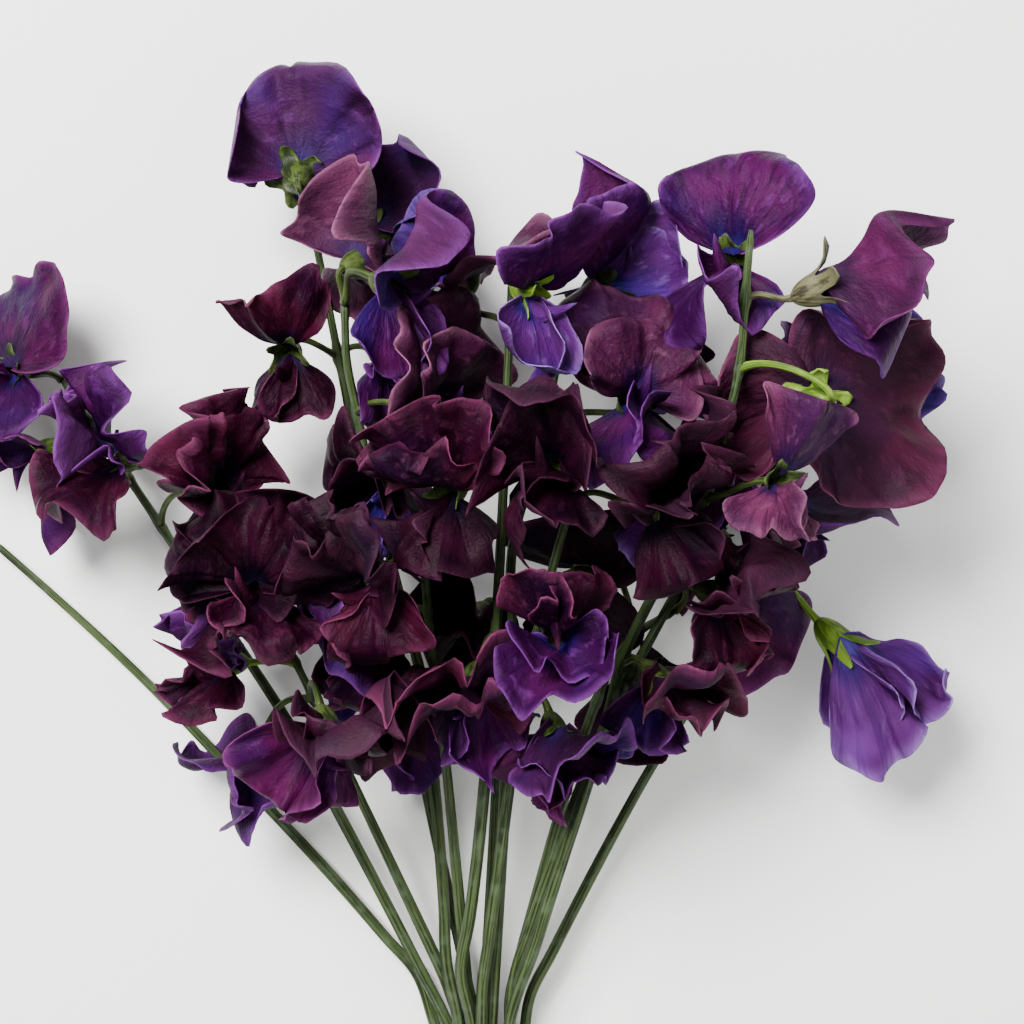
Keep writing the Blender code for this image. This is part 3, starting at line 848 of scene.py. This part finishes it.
@dataclass(frozen=True)
class PetalFinish:
    """Living petal: thin cells full of sap, ridged by veins, with a velvet of fine papillae.

    The eye sees a deep matt body colour, darker veins that fan out from the claw, a
    paler claw, and a soft bloom of light at grazing angles. The margin colour is painted
    light: paler towards the rim for light through the thin edge, a painted highlight along
    the lip, and painted sheen on the crests of the puckers.
    """

    name: str
    body: str
    blush: str  # broad patches
    shade: str  # cooler patches
    vein: str
    # painted light: the paler margin, the painted highlight on the lip, painted sheen on puckers
    margin: str
    throat: str  # just above the claw
    claw: str
    dust: str = "#4c2c42"  # a brown film, on the back only
    dusting: float = 0.14

    def build(self, back: bool) -> bpy.types.Material:
        """The finish's material.

        Args:
            back: True for the petal's underside, which is paler and browner.

        Returns:
            The material.
        """
        skin = Skin(f"{self.name}_{'back' if back else 'face'}", 42.0)
        rise = add_node(skin.tree, "ShaderNodeSeparateXYZ", {0: skin.along}).outputs[1]
        streak, pucker, patch, cool, crinkle = skin.add_grains(
            ((38.0, 2.2), 1.0, 4.0, 0.62),  # veins, about 1 mm apart at the margin
            ((9.0, 3.0), 1.7, 3.0, 0.55),  # puckers between them, about 5 mm across
            (None, 38.0, 2.0, 0.5),  # patches 20 to 40 mm across
            (None, 31.0, 1.0, 0.5),  # others, which turn to indigo
            (None, 1200.0, 3.0, 0.5),  # papillae, drawn 0.8 mm across so that they show
        )
        # The streaks push the throat's edge up and down the veins.
        climb = add_node(
            skin.tree, "ShaderNodeMath", {0: streak, 1: -0.35, 2: rise}, operation="MULTIPLY_ADD"
        )
        # Breaks up the painted highlight along the lip in places.
        lip_breaks = add_node(
            skin.tree, "ShaderNodeMapRange",
            {"Value": pucker, "From Min": 0.42, "From Max": 0.58, "To Min": 0.1},
        )
        colour = skin.paint(
            self.body,
            (self.blush, patch, 0.44, 0.66, 1.0),
            (self.shade, cool, 0.50, 0.68, 0.7),
            # Painted sheen: margin colour on the crests of the puckers, for glints of light.
            (self.margin, pucker, 0.54, 0.72, 0.22),
            # Painted light: paler towards the rim, standing in for light shining through the thin edge.
            (self.margin, rise, 0.82, 1.05, 0.45),
            (self.throat, climb, 0.20, -0.04, 0.85),
            (self.claw, climb, 0.0, -0.1, 1.0),
            # Painted highlight: a thin pale line along the lip, broken up in places.
            (self.margin, rise, 0.965, 0.99, 0.6, lip_breaks),
            (self.vein, streak, 0.50, 0.64, 1.0, 0.4 if back else 0.5),
        )
        if back:
            colour = add_node(
                skin.tree, "ShaderNodeMix",
                {0: self.dusting, 6: colour, 7: linear(self.dust)}, data_type="RGBA",
            )
        return skin.finish(
            colour, 0.00045, crinkle, (streak, 1.5), (pucker, 3.2),
            Roughness=0.5, IOR=1.38, Specular_IOR_Level=0.08,
            Sheen_Weight=0.012, Sheen_Roughness=0.4, Sheen_Tint=linear(self.margin),
        )


class Tint(Enum):
    """The colours that the flowers come in. Each is also a slot of the record."""

    AUBERGINE = PetalFinish(
        "aubergine", "#10010b", "#220415", "#0a0213", "#050004", "#3c182e", "#08020f", "#10081e"
    )
    MAROON = PetalFinish(
        "maroon", "#1b0111", "#32071c", "#13021c", "#0a0106", "#642a4a", "#0d021c", "#180c28"
    )
    MAUVE = PetalFinish(
        "mauve", "#320d28", "#4c1e3a", "#260a30", "#1a0516", "#7c4a66", "#12042c", "#281a44"
    )
    PURPLE = PetalFinish(
        "purple", "#24022b", "#3c0838", "#170446", "#0e0116", "#6a327c", "#0e0330", "#201450"
    )
    VIOLET = PetalFinish(
        "violet", "#220a40", "#380e54", "#190a58", "#0e0426", "#664690", "#150630", "#2c2060"
    )
    LILAC = PetalFinish(
        "lilac", "#401250", "#582a74", "#2c1470", "#1e0840", "#8664a8", "#180e5a", "#4c4494"
    )
    MAGENTA = PetalFinish(
        "magenta", "#260124", "#3c0630", "#1c0230", "#10000e", "#682c60", "#10021f", "#201030"
    )

    @property
    def slot(self) -> str:
        """The record's slot for this colour."""
        return f"petals_{self.value.name}"


@dataclass(frozen=True)
class GreenFinish:
    """Living stem: a waxy skin over ribs of fibre, with a bloom that dulls its gloss.

    The eye sees light and dark ribs that run its whole length, and a paler wax on them.
    """

    name: str
    body: str
    groove: str
    wax: str
    ribs: float = 7.0
    roughness: float = 0.46

    def build(self) -> bpy.types.Material:
        """The finish's material.

        Returns:
            The material.
        """
        skin = Skin(self.name, 30.0)
        streak, blotch, down = skin.add_grains(
            ((self.ribs * 2.2, 1.6), 1.0, 5.0, 0.6),
            (None, 160.0, 3.0, 0.5),  # wax in patches about 6 mm across
            (None, 1600.0, 2.0, 0.5),  # hairs and pores, drawn 0.6 mm across so that they show
        )
        colour = skin.paint(
            self.body,
            (self.groove, streak, 0.56, 0.44, 1.0),
            (self.wax, blotch, 0.45, 0.75, 0.45),
        )
        return skin.finish(
            colour, 0.00025, down, (streak, 2.0),
            Roughness=self.roughness, IOR=1.42, Specular_IOR_Level=0.2,
            Sheen_Weight=0.02, Sheen_Roughness=0.5,
        )


class Green(Enum):
    """The greens of the stems, the stalks and the calyxes."""

    STEM = GreenFinish("stem_skin", "#3c4a28", "#17200f", "#4f5e48")
    FRESH = GreenFinish("fresh_green", "#6d8a26", "#415a18", "#8aa348", ribs=5.0)
    OLIVE = GreenFinish("olive_green", "#39471b", "#1a220e", "#525f30", ribs=5.0)
    DRY = GreenFinish("dry_sepal", "#57553a", "#2b261a", "#77735a", ribs=5.0, roughness=0.6)

    @property
    def slot(self) -> str:
        """The record's slot for every green."""
        return "stem_green"


def make_materials() -> dict[Enum, list]:
    """Each tint's materials, face and back, and each green's."""
    made = {tint: [tint.value.build(back) for back in (False, True)] for tint in Tint}
    return made | {green: [green.value.build()] for green in Green}


@dataclass(frozen=True)
class Habit:
    """How a flower is open. Angles are in degrees and lengths in millimetres."""

    standard: Petal = Petal()
    recline: float = 70.0  # the standard's angle off the flower's axis
    inner: float = 0.0  # a frilly flower's second standard, as a share of the first
    wing: Petal = Petal(
        length=28.0, spread=60, taper=0.16, notch=0.0, skew=0.1, fold=6, roll=20, sweep=18,
        crease=0.2, crumple=0.5, ruffle=2.2, waves=2.1, sway=2.0, flap=60.0, curl=80.0,
        funnel=0.5, columns=30, rows=18,
    )
    drop: float = 44.0  # the wings' angle below the axis
    flare: float = 16.0  # the wings' angle apart, each side
    splay: float = 56.0  # how far their lower margins open
    sepal: float = 5.0  # the length of the calyx's teeth
    curl: float = 75.0  # how far they curl out


def habit(base: Habit, standard: dict, wing: dict, **rest: float) -> Habit:
    """A habit like the base but for these changes to its standard, its wings and the rest."""
    return replace(
        base, standard=replace(base.standard, **standard), wing=replace(base.wing, **wing), **rest
    )


class Form(Enum):
    """The ways that the flowers are open. Each changes the standard, the wings, and the rest."""

    OPEN = ({}, {}, {})
    BROAD = (
        dict(length=34, sweep=24, fold=-6, ruffle=2.8, waves=2.8, flap=50, curl=80, funnel=1.0),
        {},
        dict(recline=86.0),
    )
    FOLDED = (
        dict(fold=-30, roll=-20, sweep=36, crease=1.6, flap=110, flap_at=0.3),
        {},
        dict(recline=84.0),
    )
    ROLLED = (
        dict(length=35, fold=-62, roll=-40, sweep=10, ruffle=1.4, curls=1, flap=40),
        dict(ruffle=2.4, flap=30),
        dict(recline=24.0, drop=14.0, flare=10.0, splay=24.0, sepal=9.0),
    )
    HOODED = (
        dict(length=38, spread=66, taper=-0.1, fold=40, roll=34, sweep=-14, ruffle=3.2, waves=3.6,
             crumple=1.5, flap=30, columns=84),
        dict(length=33, spread=46, crumple=1.2, flap=30),
        dict(recline=20.0, drop=10.0, splay=10.0, flare=2.0, sepal=9.0, curl=40.0),
    )
    TRUMPET = (
        dict(length=32, spread=80, taper=0.0, fold=40, roll=-40, sweep=50, ruffle=2.4, flap=60,
             columns=80),
        {},
        dict(recline=18.0, drop=24.0, sepal=9.0),
    )
    FRILLY = (
        dict(ruffle=5.2, waves=4.6, crumple=1.4, sweep=24, columns=84, rows=24),
        dict(ruffle=3.8, waves=3.2, crumple=0.9, sway=3.0, columns=40, rows=22),
        dict(recline=66.0, inner=0.82, splay=60.0, flare=24.0),
    )
    CUPPED = (
        dict(fold=26, roll=30, sweep=-6, ruffle=3.6, waves=3.6, crumple=0.9, flap=55),
        dict(ruffle=3.2, waves=3.0),
        dict(recline=58.0, inner=0.78),
    )


@dataclass(frozen=True)
class Look:
    """What one flower looks like, and how it differs from its form."""

    form: Form
    standard: Tint
    wings: Tint
    green: Green = Green.OLIVE
    standard_changes: dict = field(default_factory=dict)
    wing_changes: dict = field(default_factory=dict)
    changes: dict = field(default_factory=dict)

    @property
    def habit(self) -> Habit:
        """The form's habit with this flower's own changes."""
        standard, wing, rest = self.form.value
        formed = habit(Habit(), standard, wing, **rest)
        return habit(formed, self.standard_changes, self.wing_changes, **self.changes)


# Flowers that look alike share a line. The first ones have just the shape of their form.
LOOKS = {
    "a2 b2 f1 f3 m4": Look(Form.OPEN, Tint.PURPLE, Tint.PURPLE),
    "d2": Look(Form.OPEN, Tint.PURPLE, Tint.VIOLET),
    "f4": Look(Form.OPEN, Tint.VIOLET, Tint.VIOLET),
    "j3": Look(Form.OPEN, Tint.AUBERGINE, Tint.AUBERGINE),
    "c1": Look(Form.OPEN, Tint.PURPLE, Tint.LILAC, Green.FRESH),
    "l3": Look(Form.BROAD, Tint.MAGENTA, Tint.PURPLE),
    "b1": Look(Form.FOLDED, Tint.MAUVE, Tint.MAUVE),
    "i4": Look(Form.FOLDED, Tint.VIOLET, Tint.PURPLE),
    "d1": Look(Form.ROLLED, Tint.PURPLE, Tint.LILAC),
    "g2": Look(Form.HOODED, Tint.LILAC, Tint.LILAC, Green.FRESH),
    "e2": Look(Form.TRUMPET, Tint.MAGENTA, Tint.PURPLE, Green.DRY),
    "a4": Look(Form.FRILLY, Tint.PURPLE, Tint.PURPLE),
    "l1": Look(Form.FRILLY, Tint.PURPLE, Tint.MAROON),
    "c3": Look(Form.FRILLY, Tint.MAROON, Tint.PURPLE),
    "i1 l2": Look(Form.FRILLY, Tint.MAROON, Tint.AUBERGINE),
    "i2 j1 m1": Look(Form.FRILLY, Tint.AUBERGINE, Tint.MAROON),
    "h2": Look(Form.FRILLY, Tint.AUBERGINE, Tint.AUBERGINE),
    "m3": Look(Form.FRILLY, Tint.AUBERGINE, Tint.MAGENTA),
    "h1 j2 k2": Look(Form.CUPPED, Tint.AUBERGINE, Tint.AUBERGINE),
    "a5": Look(Form.CUPPED, Tint.AUBERGINE, Tint.VIOLET),
    "g3": Look(Form.CUPPED, Tint.MAROON, Tint.MAROON),
    "h3 i3": Look(Form.CUPPED, Tint.PURPLE, Tint.MAROON),
    "f2": Look(Form.CUPPED, Tint.PURPLE, Tint.LILAC),
    "k1": Look(Form.CUPPED, Tint.PURPLE, Tint.MAGENTA),
    # These change their standard, their wings and the rest.
    "a1": Look(Form.BROAD, Tint.PURPLE, Tint.PURPLE, Green.OLIVE,
               dict(ruffle=4.4, waves=3.4, sway=8.0, curls=3, flap=85, columns=90), {},
               dict(curl=160.0, drop=-20.0)),
    "a3": Look(Form.OPEN, Tint.MAROON, Tint.MAROON, Green.OLIVE,
               dict(spread=54, length=31, taper=-0.3, notch=0.2, curls=3), dict(length=22)),
    "b3": Look(Form.OPEN, Tint.MAUVE, Tint.PURPLE, Green.OLIVE, dict(length=38), {}, dict(inner=0.76)),
    "c2": Look(Form.OPEN, Tint.MAUVE, Tint.VIOLET, Green.OLIVE, dict(length=40)),
    "d3": Look(Form.OPEN, Tint.MAUVE, Tint.PURPLE, Green.OLIVE, dict(ruffle=3.8, waves=3.6), {},
               dict(inner=0.7)),
    "e1": Look(Form.OPEN, Tint.PURPLE, Tint.PURPLE, Green.OLIVE,
               dict(fold=-24, notch=0.22, spread=72, length=36, taper=0.05)),
    "e3": Look(Form.BROAD, Tint.MAROON, Tint.MAROON, Green.FRESH,
               dict(spread=112, length=36, skew=0.18, sweep=8, ruffle=3.6, waves=3.6, crumple=1.4,
                    columns=100, folds=((84, 0.5, -135, 8), (-60, 0.5, -40, 12))), {},
               dict(sepal=5.5, curl=170.0)),
    "e4": Look(Form.OPEN, Tint.MAUVE, Tint.MAUVE, Green.OLIVE,
               dict(spread=50, length=34, fold=-20, taper=0.1, curls=1, flap=30), dict(length=22)),
    "e5": Look(Form.CUPPED, Tint.MAROON, Tint.PURPLE, Green.OLIVE, dict(length=29), dict(length=23)),
    "g1": Look(Form.OPEN, Tint.MAGENTA, Tint.MAROON, Green.OLIVE, dict(fold=-38, spread=84)),
    "l4": Look(Form.OPEN, Tint.MAGENTA, Tint.MAGENTA, Green.FRESH, dict(length=28), dict(length=22)),
    "m2": Look(Form.FRILLY, Tint.PURPLE, Tint.MAROON, Green.FRESH, dict(length=26), dict(length=21)),
}


def show(name: str, data: bpy.types.ID) -> bpy.types.Object:
    """A new object with this data, in the scene."""
    made = bpy.data.objects.new(name, data)
    bpy.context.scene.collection.objects.link(made)
    return made


def show_mesh(bm: bmesh.types.BMesh, name: str, materials: list) -> bpy.types.Object:
    """Makes a mesh an object in the scene.

    Args:
        bm: The mesh. It is freed.
        name: The object's name.
        materials: Its materials.

    Returns:
        The object.
    """
    mesh = bpy.data.meshes.new(name)
    bm.to_mesh(mesh)
    bm.free()
    for material in materials:
        mesh.materials.append(material)
    return show(name, mesh)


def finish_piece(bm: bmesh.types.BMesh, name: str, node: str, materials: list,
                 wall: float = 0.0) -> None:
    """Makes the mesh a piece of the bunch.

    Args:
        bm: The piece's mesh. It is freed.
        name: The piece's name.
        node: The solid that it stands for.
        materials: Its face material, then its back material if it has a wall.
        wall: The thickness in millimetres that Solidify gives it.
    """
    for face in bm.faces:
        face.smooth = True
    made = show_mesh(bm, name, materials)
    if wall:
        solidify = made.modifiers.new("wall", "SOLIDIFY")
        solidify.thickness = wall * MM
        solidify.offset = 0.0
        solidify.use_even_offset = False
        solidify.material_offset = len(materials) - 1
    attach(made, "root")
    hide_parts(node)
    LOG.info("%s: %d faces", name, len(made.data.polygons))


@dataclass
class Flower:
    """One flower: a standard, two wings, a keel, and a calyx on its stalk.

    Lengths are in millimetres, forwards from the foot of the calyx.
    """

    name: str
    place: Place
    look: Look
    route: Array
    materials: dict
    petal_wall: float = 0.32
    nod: float = 12.0  # how far off its form's angle a standard may lean, in degrees
    inner_lean: float = 22.0  # how much more upright the second standard is
    inner_step: float = 1.2  # how far it stands in front of the first
    yaw: float = 7.0  # how far off its form's angle a wing may turn
    keel_start: float = 4.0
    keel_length: float = 17.0
    keel_width: float = 4.4
    keel_depth: float = 7.0
    neck_radius: float = 0.8
    mouth_radius: float = 4.2
    bell: float = 7.5  # the calyx's length without its teeth
    bend_at: float = 0.72  # where on the bell the teeth start to curl
    sepal_wall: float = 0.3

    @property
    def turn(self) -> Array:
        """The flower's own axes as rows: to its side, to its standard, and forwards."""
        return np.stack([np.cross(self.place.top, self.place.axis), self.place.top, self.place.axis])

    def out(self, points: Array) -> Array:
        """Points of the flower's own space, as metres in the frame."""
        return to_frame(self.place.calyx + self.place.size * points @ self.turn)

    def add_petal(self, bm: bmesh.types.BMesh, petal: Petal, foot: Array, axes: Array,
                  draw: np.random.Generator) -> None:
        """Adds a petal to the mesh.

        Args:
            bm: Where it goes.
            petal: Its shape.
            foot: Where its claw is, in the flower's own space.
            axes: Its side, midline and front as rows, in the flower's own space.
            draw: Where its waves' phases come from.
        """
        add_sheet(
            bm, petal.columns, petal.rows,
            lambda across, along: self.out(foot + petal.shape(across, along, draw) @ axes),
        )

    def finish(self, bm: bmesh.types.BMesh, part: str, coat: Tint | Green, wall: float = 0.0) -> None:
        """Makes the mesh a part of the flower.

        Args:
            bm: The mesh.
            part: The part's name.
            coat: Its colour.
            wall: Its thickness if it is a sheet.
        """
        materials = self.materials[coat] if wall else self.materials[coat][:1]
        finish_piece(
            bm, f"{part}_{self.name}", f"blossom_{self.name}", materials, wall
        )

    def build_standard(self) -> None:
        """The big upright petal at the flower's back, with a smaller one before it if frilly."""
        draw = dice("standard" + self.name)
        form = self.look.habit
        lean = math.radians(form.recline + draw.uniform(-self.nod, self.nod))
        bm = new_mesh()
        for share in (1.0, form.inner):
            if share:
                up = np.array((0, math.sin(lean), math.cos(lean)))
                front = np.array((0, -math.cos(lean), math.sin(lean)))
                foot = np.array((0.0, 1.2, self.bell + 1.0)) + self.inner_step * (share < 1) * front
                petal = replace(form.standard, length=share * form.standard.length)
                self.add_petal(bm, petal, foot, np.array([(1, 0, 0), up, front]), draw)
            lean -= math.radians(self.inner_lean)
        self.finish(bm, "standard", self.look.standard, self.petal_wall)

    def build_wings(self) -> None:
        """The two petals that stand forwards, one each side of the keel."""
        draw = dice("wings" + self.name)
        form = self.look.habit
        drop, flare = math.radians(form.drop), math.radians(form.flare)
        bm = new_mesh()
        for way in (-1, 1):
            splay = math.radians(form.splay + draw.uniform(-self.yaw, self.yaw))
            midline = np.array(
                (way * math.sin(flare), -math.sin(drop) * math.cos(flare),
                 math.cos(drop) * math.cos(flare))
            )
            upper = np.array(
                (-way * math.sin(splay), math.cos(splay) * math.cos(drop),
                 math.cos(splay) * math.sin(drop))
            )
            side = way * square_to(upper, midline)
            front = np.cross(side, midline)
            foot = np.array((way * 1.3, -0.4, self.bell - 1.0))
            self.add_petal(bm, form.wing, foot, np.stack([side, midline, front]), draw)
        self.finish(bm, "wings", self.look.wings, self.petal_wall)

    def build_keel(self) -> None:
        """The closed boat between the wings."""

        def shape(angle: Array, along: Array) -> Array:
            """The keel's skin.

            Args:
                angle: Round the keel, from its upper edge.
                along: From 0 at its claw to 1 at its tip.

            Returns:
                Its points.
            """
            bulge = np.sin(math.pi * np.clip(along, 0.0, 1.0) ** 0.8) ** 0.7
            rise = 6.5 * along**2.6 - 3.2 * np.sin(math.pi * along) - 1.5
            return self.out(np.column_stack((
                0.5 * self.keel_width * bulge * np.sin(angle),
                rise + 0.5 * self.keel_depth * bulge * np.cos(angle),
                self.keel_start + self.keel_length * along,
            )))

        bm = new_mesh()
        add_tube(bm, 14, 14, shape)
        bmesh.ops.recalc_face_normals(bm, faces=bm.faces)
        self.finish(bm, "keel", self.look.wings)

    def build_calyx(self) -> None:
        """The stalk, and the bell with its five teeth."""
        form = self.look.habit
        phase = dice("calyx" + self.name).uniform(0, 2 * math.pi, 4)

        def bell(angle: Array, along: Array) -> Array:
            """The bell's skin. Its rim runs up into five pointed teeth, which curl out.

            Args:
                angle: Round the flower's axis.
                along: From 0 at the stalk to 1 at the rim.

            Returns:
                Its points.
            """
            tooth = np.abs(np.cos(2.5 * (angle + phase[0]))) ** 2.4
            teeth = form.sepal * tooth * (1 + 0.2 * np.sin(angle + phase[1]))
            run = along * (self.bell + teeth)
            swell = np.sin(0.5 * math.pi * np.clip(run / self.bell, 0, 1) ** 0.75)
            out = self.neck_radius + (self.mouth_radius - self.neck_radius) * swell
            over = np.clip(run - self.bend_at * self.bell, 0, None)
            curl = math.radians(form.curl) * (1 + 0.3 * np.sin(2 * angle + phase[2]))
            reach = form.sepal + (1 - self.bend_at) * self.bell
            tilt = curl * over / reach
            out = out + reach / curl * (1 - np.cos(tilt))
            high = np.minimum(run, self.bend_at * self.bell) + reach / curl * np.sin(tilt)
            return self.out(np.column_stack((out * np.sin(angle), out * np.cos(angle), high)))

        bm = new_mesh()
        add_tube(bm, 40, 12, bell)
        bmesh.ops.recalc_face_normals(bm, faces=bm.faces)
        start, leave = self.stalk_start()
        end = np.array((0.0, 0.0, 0.8))
        pull = 0.45 * np.linalg.norm(end - start)
        knots = np.array([start, start + pull * leave, end - (0, 0, pull), end])

        def stalk(angle: Array, along: Array) -> Array:
            """The stalk's skin, thicker at both of its ends.

            Args:
                angle: Round the stalk.
                along: From 0 at the stem to 1 in the calyx.

            Returns:
                Its points.
            """
            levels, which = np.unique(along, return_inverse=True)
            t = levels[:, None]
            route = ((1 - t) ** 3 * knots[0] + 3 * (1 - t) ** 2 * t * knots[1]
                     + 3 * (1 - t) * t**2 * knots[2] + t**3 * knots[3])
            _, first, second = route_frames(route)
            thick = STALK_RADIUS * (0.86 + 0.5 * np.abs(2 * levels - 1) ** 6) / self.place.size
            around = ring(angle, first[which], second[which])
            return self.out(route[which] + thick[which, None] * around)

        add_tube(bm, 10, 18, stalk)
        self.finish(bm, "calyx", self.look.green, self.sepal_wall)

    def stalk_start(self) -> tuple[Array, Array]:
        """Where the stalk leaves its stem.

        Returns:
            The place and the way that it leaves, in the flower's own space.
        """
        joint, route, calyx = self.place.joint, self.route, self.place.calyx
        branch = route[joint]
        along = unit(route[min(joint + 1, len(route) - 1)] - route[max(joint - 1, 0)])
        away = unit(calyx - branch)
        at_tip = joint == len(route) - 1
        outward = unit(away + 0.5 * along) if at_tip else square_to(away, along)
        start = branch + outward * 0.6
        leave = unit(outward + 0.7 * along)
        return self.turn @ (start - calyx) / self.place.size, self.turn @ leave

    def build(self) -> None:
        """Builds every piece of the flower."""
        self.build_standard()
        self.build_wings()
        self.build_keel()
        self.build_calyx()


@dataclass
class Stem:
    """One stem: a ribbed tube that tapers to its tip and swells at its joints."""

    letter: str
    route: Array
    joints: list
    materials: dict
    ribs: int = 6
    rib_depth: float = 0.09
    taper_from: float = 0.45  # as a share of its length
    knuckle: float = 0.24  # how much thicker it is where a stalk leaves it
    knuckle_length: float = 0.008
    rows: int = 110
    sides: int = 24

    def build(self) -> None:
        """Builds the stem."""
        route = smooth_route(list(self.route), self.rows + 1)
        _, first, second = route_frames(route)
        places = np.linspace(0, 1, self.rows + 1)
        phase = dice("stem" + self.letter).uniform(0, 2 * math.pi, 3)
        narrowing = np.clip(places - self.taper_from, 0, None) / (1 - self.taper_from)
        taper = 1 + (TIP_RADIUS_SHARE - 1) * narrowing
        for joint in self.joints:
            away = (places - joint / (STEM_POINTS - 1)) / self.knuckle_length
            taper += self.knuckle * np.exp(-(away**2))
        taper *= np.where(places > 0.995, 0.6, 1.0)
        radius = STEM_RADIUS * taper

        def shape(angle: Array, along: Array) -> Array:
            """The stem's ribbed skin.

            Args:
                angle: Round the stem.
                along: From 0 at its cut end to 1 at its tip.

            Returns:
                Its points.
            """
            row = np.clip(np.round(along * self.rows).astype(int), 0, self.rows)
            rib = 1 + self.rib_depth * np.cos(self.ribs * angle + phase[0] + 1.5 * along)
            rib += 0.03 * np.cos(angle + phase[1])
            around = ring(angle, first[row], second[row]) * (radius[row] * rib)[:, None]
            return to_frame(route[row] + around, above=0.05, softness=0.15)

        bm = new_mesh()
        add_tube(bm, self.sides, self.rows, shape)
        bmesh.ops.holes_fill(bm, edges=[e for e in bm.edges if e.is_boundary], sides=0)
        bmesh.ops.recalc_face_normals(bm, faces=bm.faces)
        finish_piece(
            bm, f"stem_{self.letter}_skin", f"stem_{self.letter}", self.materials[Green.STEM],
        )


@dataclass
class Studio:
    """The table, the lights and the camera. Lengths are in metres."""

    middle: tuple = (0.0242, 0.0453)
    width: float = 0.2926  # what the camera takes in, at the height of the flowers
    height: float = 0.058
    lens: float = 85.0
    sensor: float = 36.0
    table_side: float = 6.0
    room_light: float = 0.45

    def build(self) -> None:
        """Builds everything that isn't the bunch."""
        bm = new_mesh()
        bmesh.ops.create_grid(
            bm, x_segments=1, y_segments=1, size=0.5 * self.table_side, calc_uvs=True
        )
        white, tree = blank_material("table_white")
        shader = add_node(
            tree, "ShaderNodeBsdfPrincipled",
            {"Base Color": linear("#fbfaf8"), "Roughness": 0.8},
        )
        add_node(tree, "ShaderNodeOutputMaterial", {0: shader})
        show_mesh(bm, "table", [white])
        # Each light's place, side and power in watts.
        for name, place, side, power in (
            ("key", (-0.45, 0.55, 1.1), 0.6, 58.0),
            ("fill", (0.8, -0.5, 0.9), 1.2, 9.0),
            ("front", (0.0, -1.1, 0.6), 0.9, 6.0),
        ):
            data = bpy.data.lights.new(name, "AREA")
            data.size, data.energy = side, power
            light = show(name, data)
            light.location = place
            aim = Vector((*self.middle, 0.04)) - Vector(place)
            light.rotation_euler = aim.to_track_quat("-Z", "Y").to_euler()
        world = bpy.data.worlds.new("room")
        bpy.context.scene.world = world
        world.use_nodes = True
        room = world.node_tree.nodes["Background"].inputs
        room[0].default_value = (1.0, 1.0, 1.0, 1.0)
        room[1].default_value = self.room_light
        data = bpy.data.cameras.new("camera")
        data.lens, data.sensor_width = self.lens, self.sensor
        data.clip_end = 20.0
        camera = show("camera", data)
        camera.location = (*self.middle, self.height + self.width * self.lens / self.sensor)
        bpy.context.scene.camera = camera


def main() -> None:
    """Builds the bunch, piece by piece, and the studio round it."""
    for name in ("Cube", "Light", "Camera"):
        if name in bpy.data.objects:
            bpy.data.objects.remove(bpy.data.objects[name], do_unlink=True)
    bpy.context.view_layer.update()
    places, routes = settle(stem_routes())
    materials = make_materials()
    for letter, route in routes.items():
        joints = [place.joint for name, place in places.items() if name[0] == letter]
        Stem(letter, route, joints, materials).build()
    looks = {name: look for names, look in LOOKS.items() for name in names.split()}
    for name, place in places.items():
        Flower(name, place, looks[name], routes[name[0]], materials).build()
    Studio().build()
    bpy.context.view_layer.update()


if __name__ == "__main__":
    main()
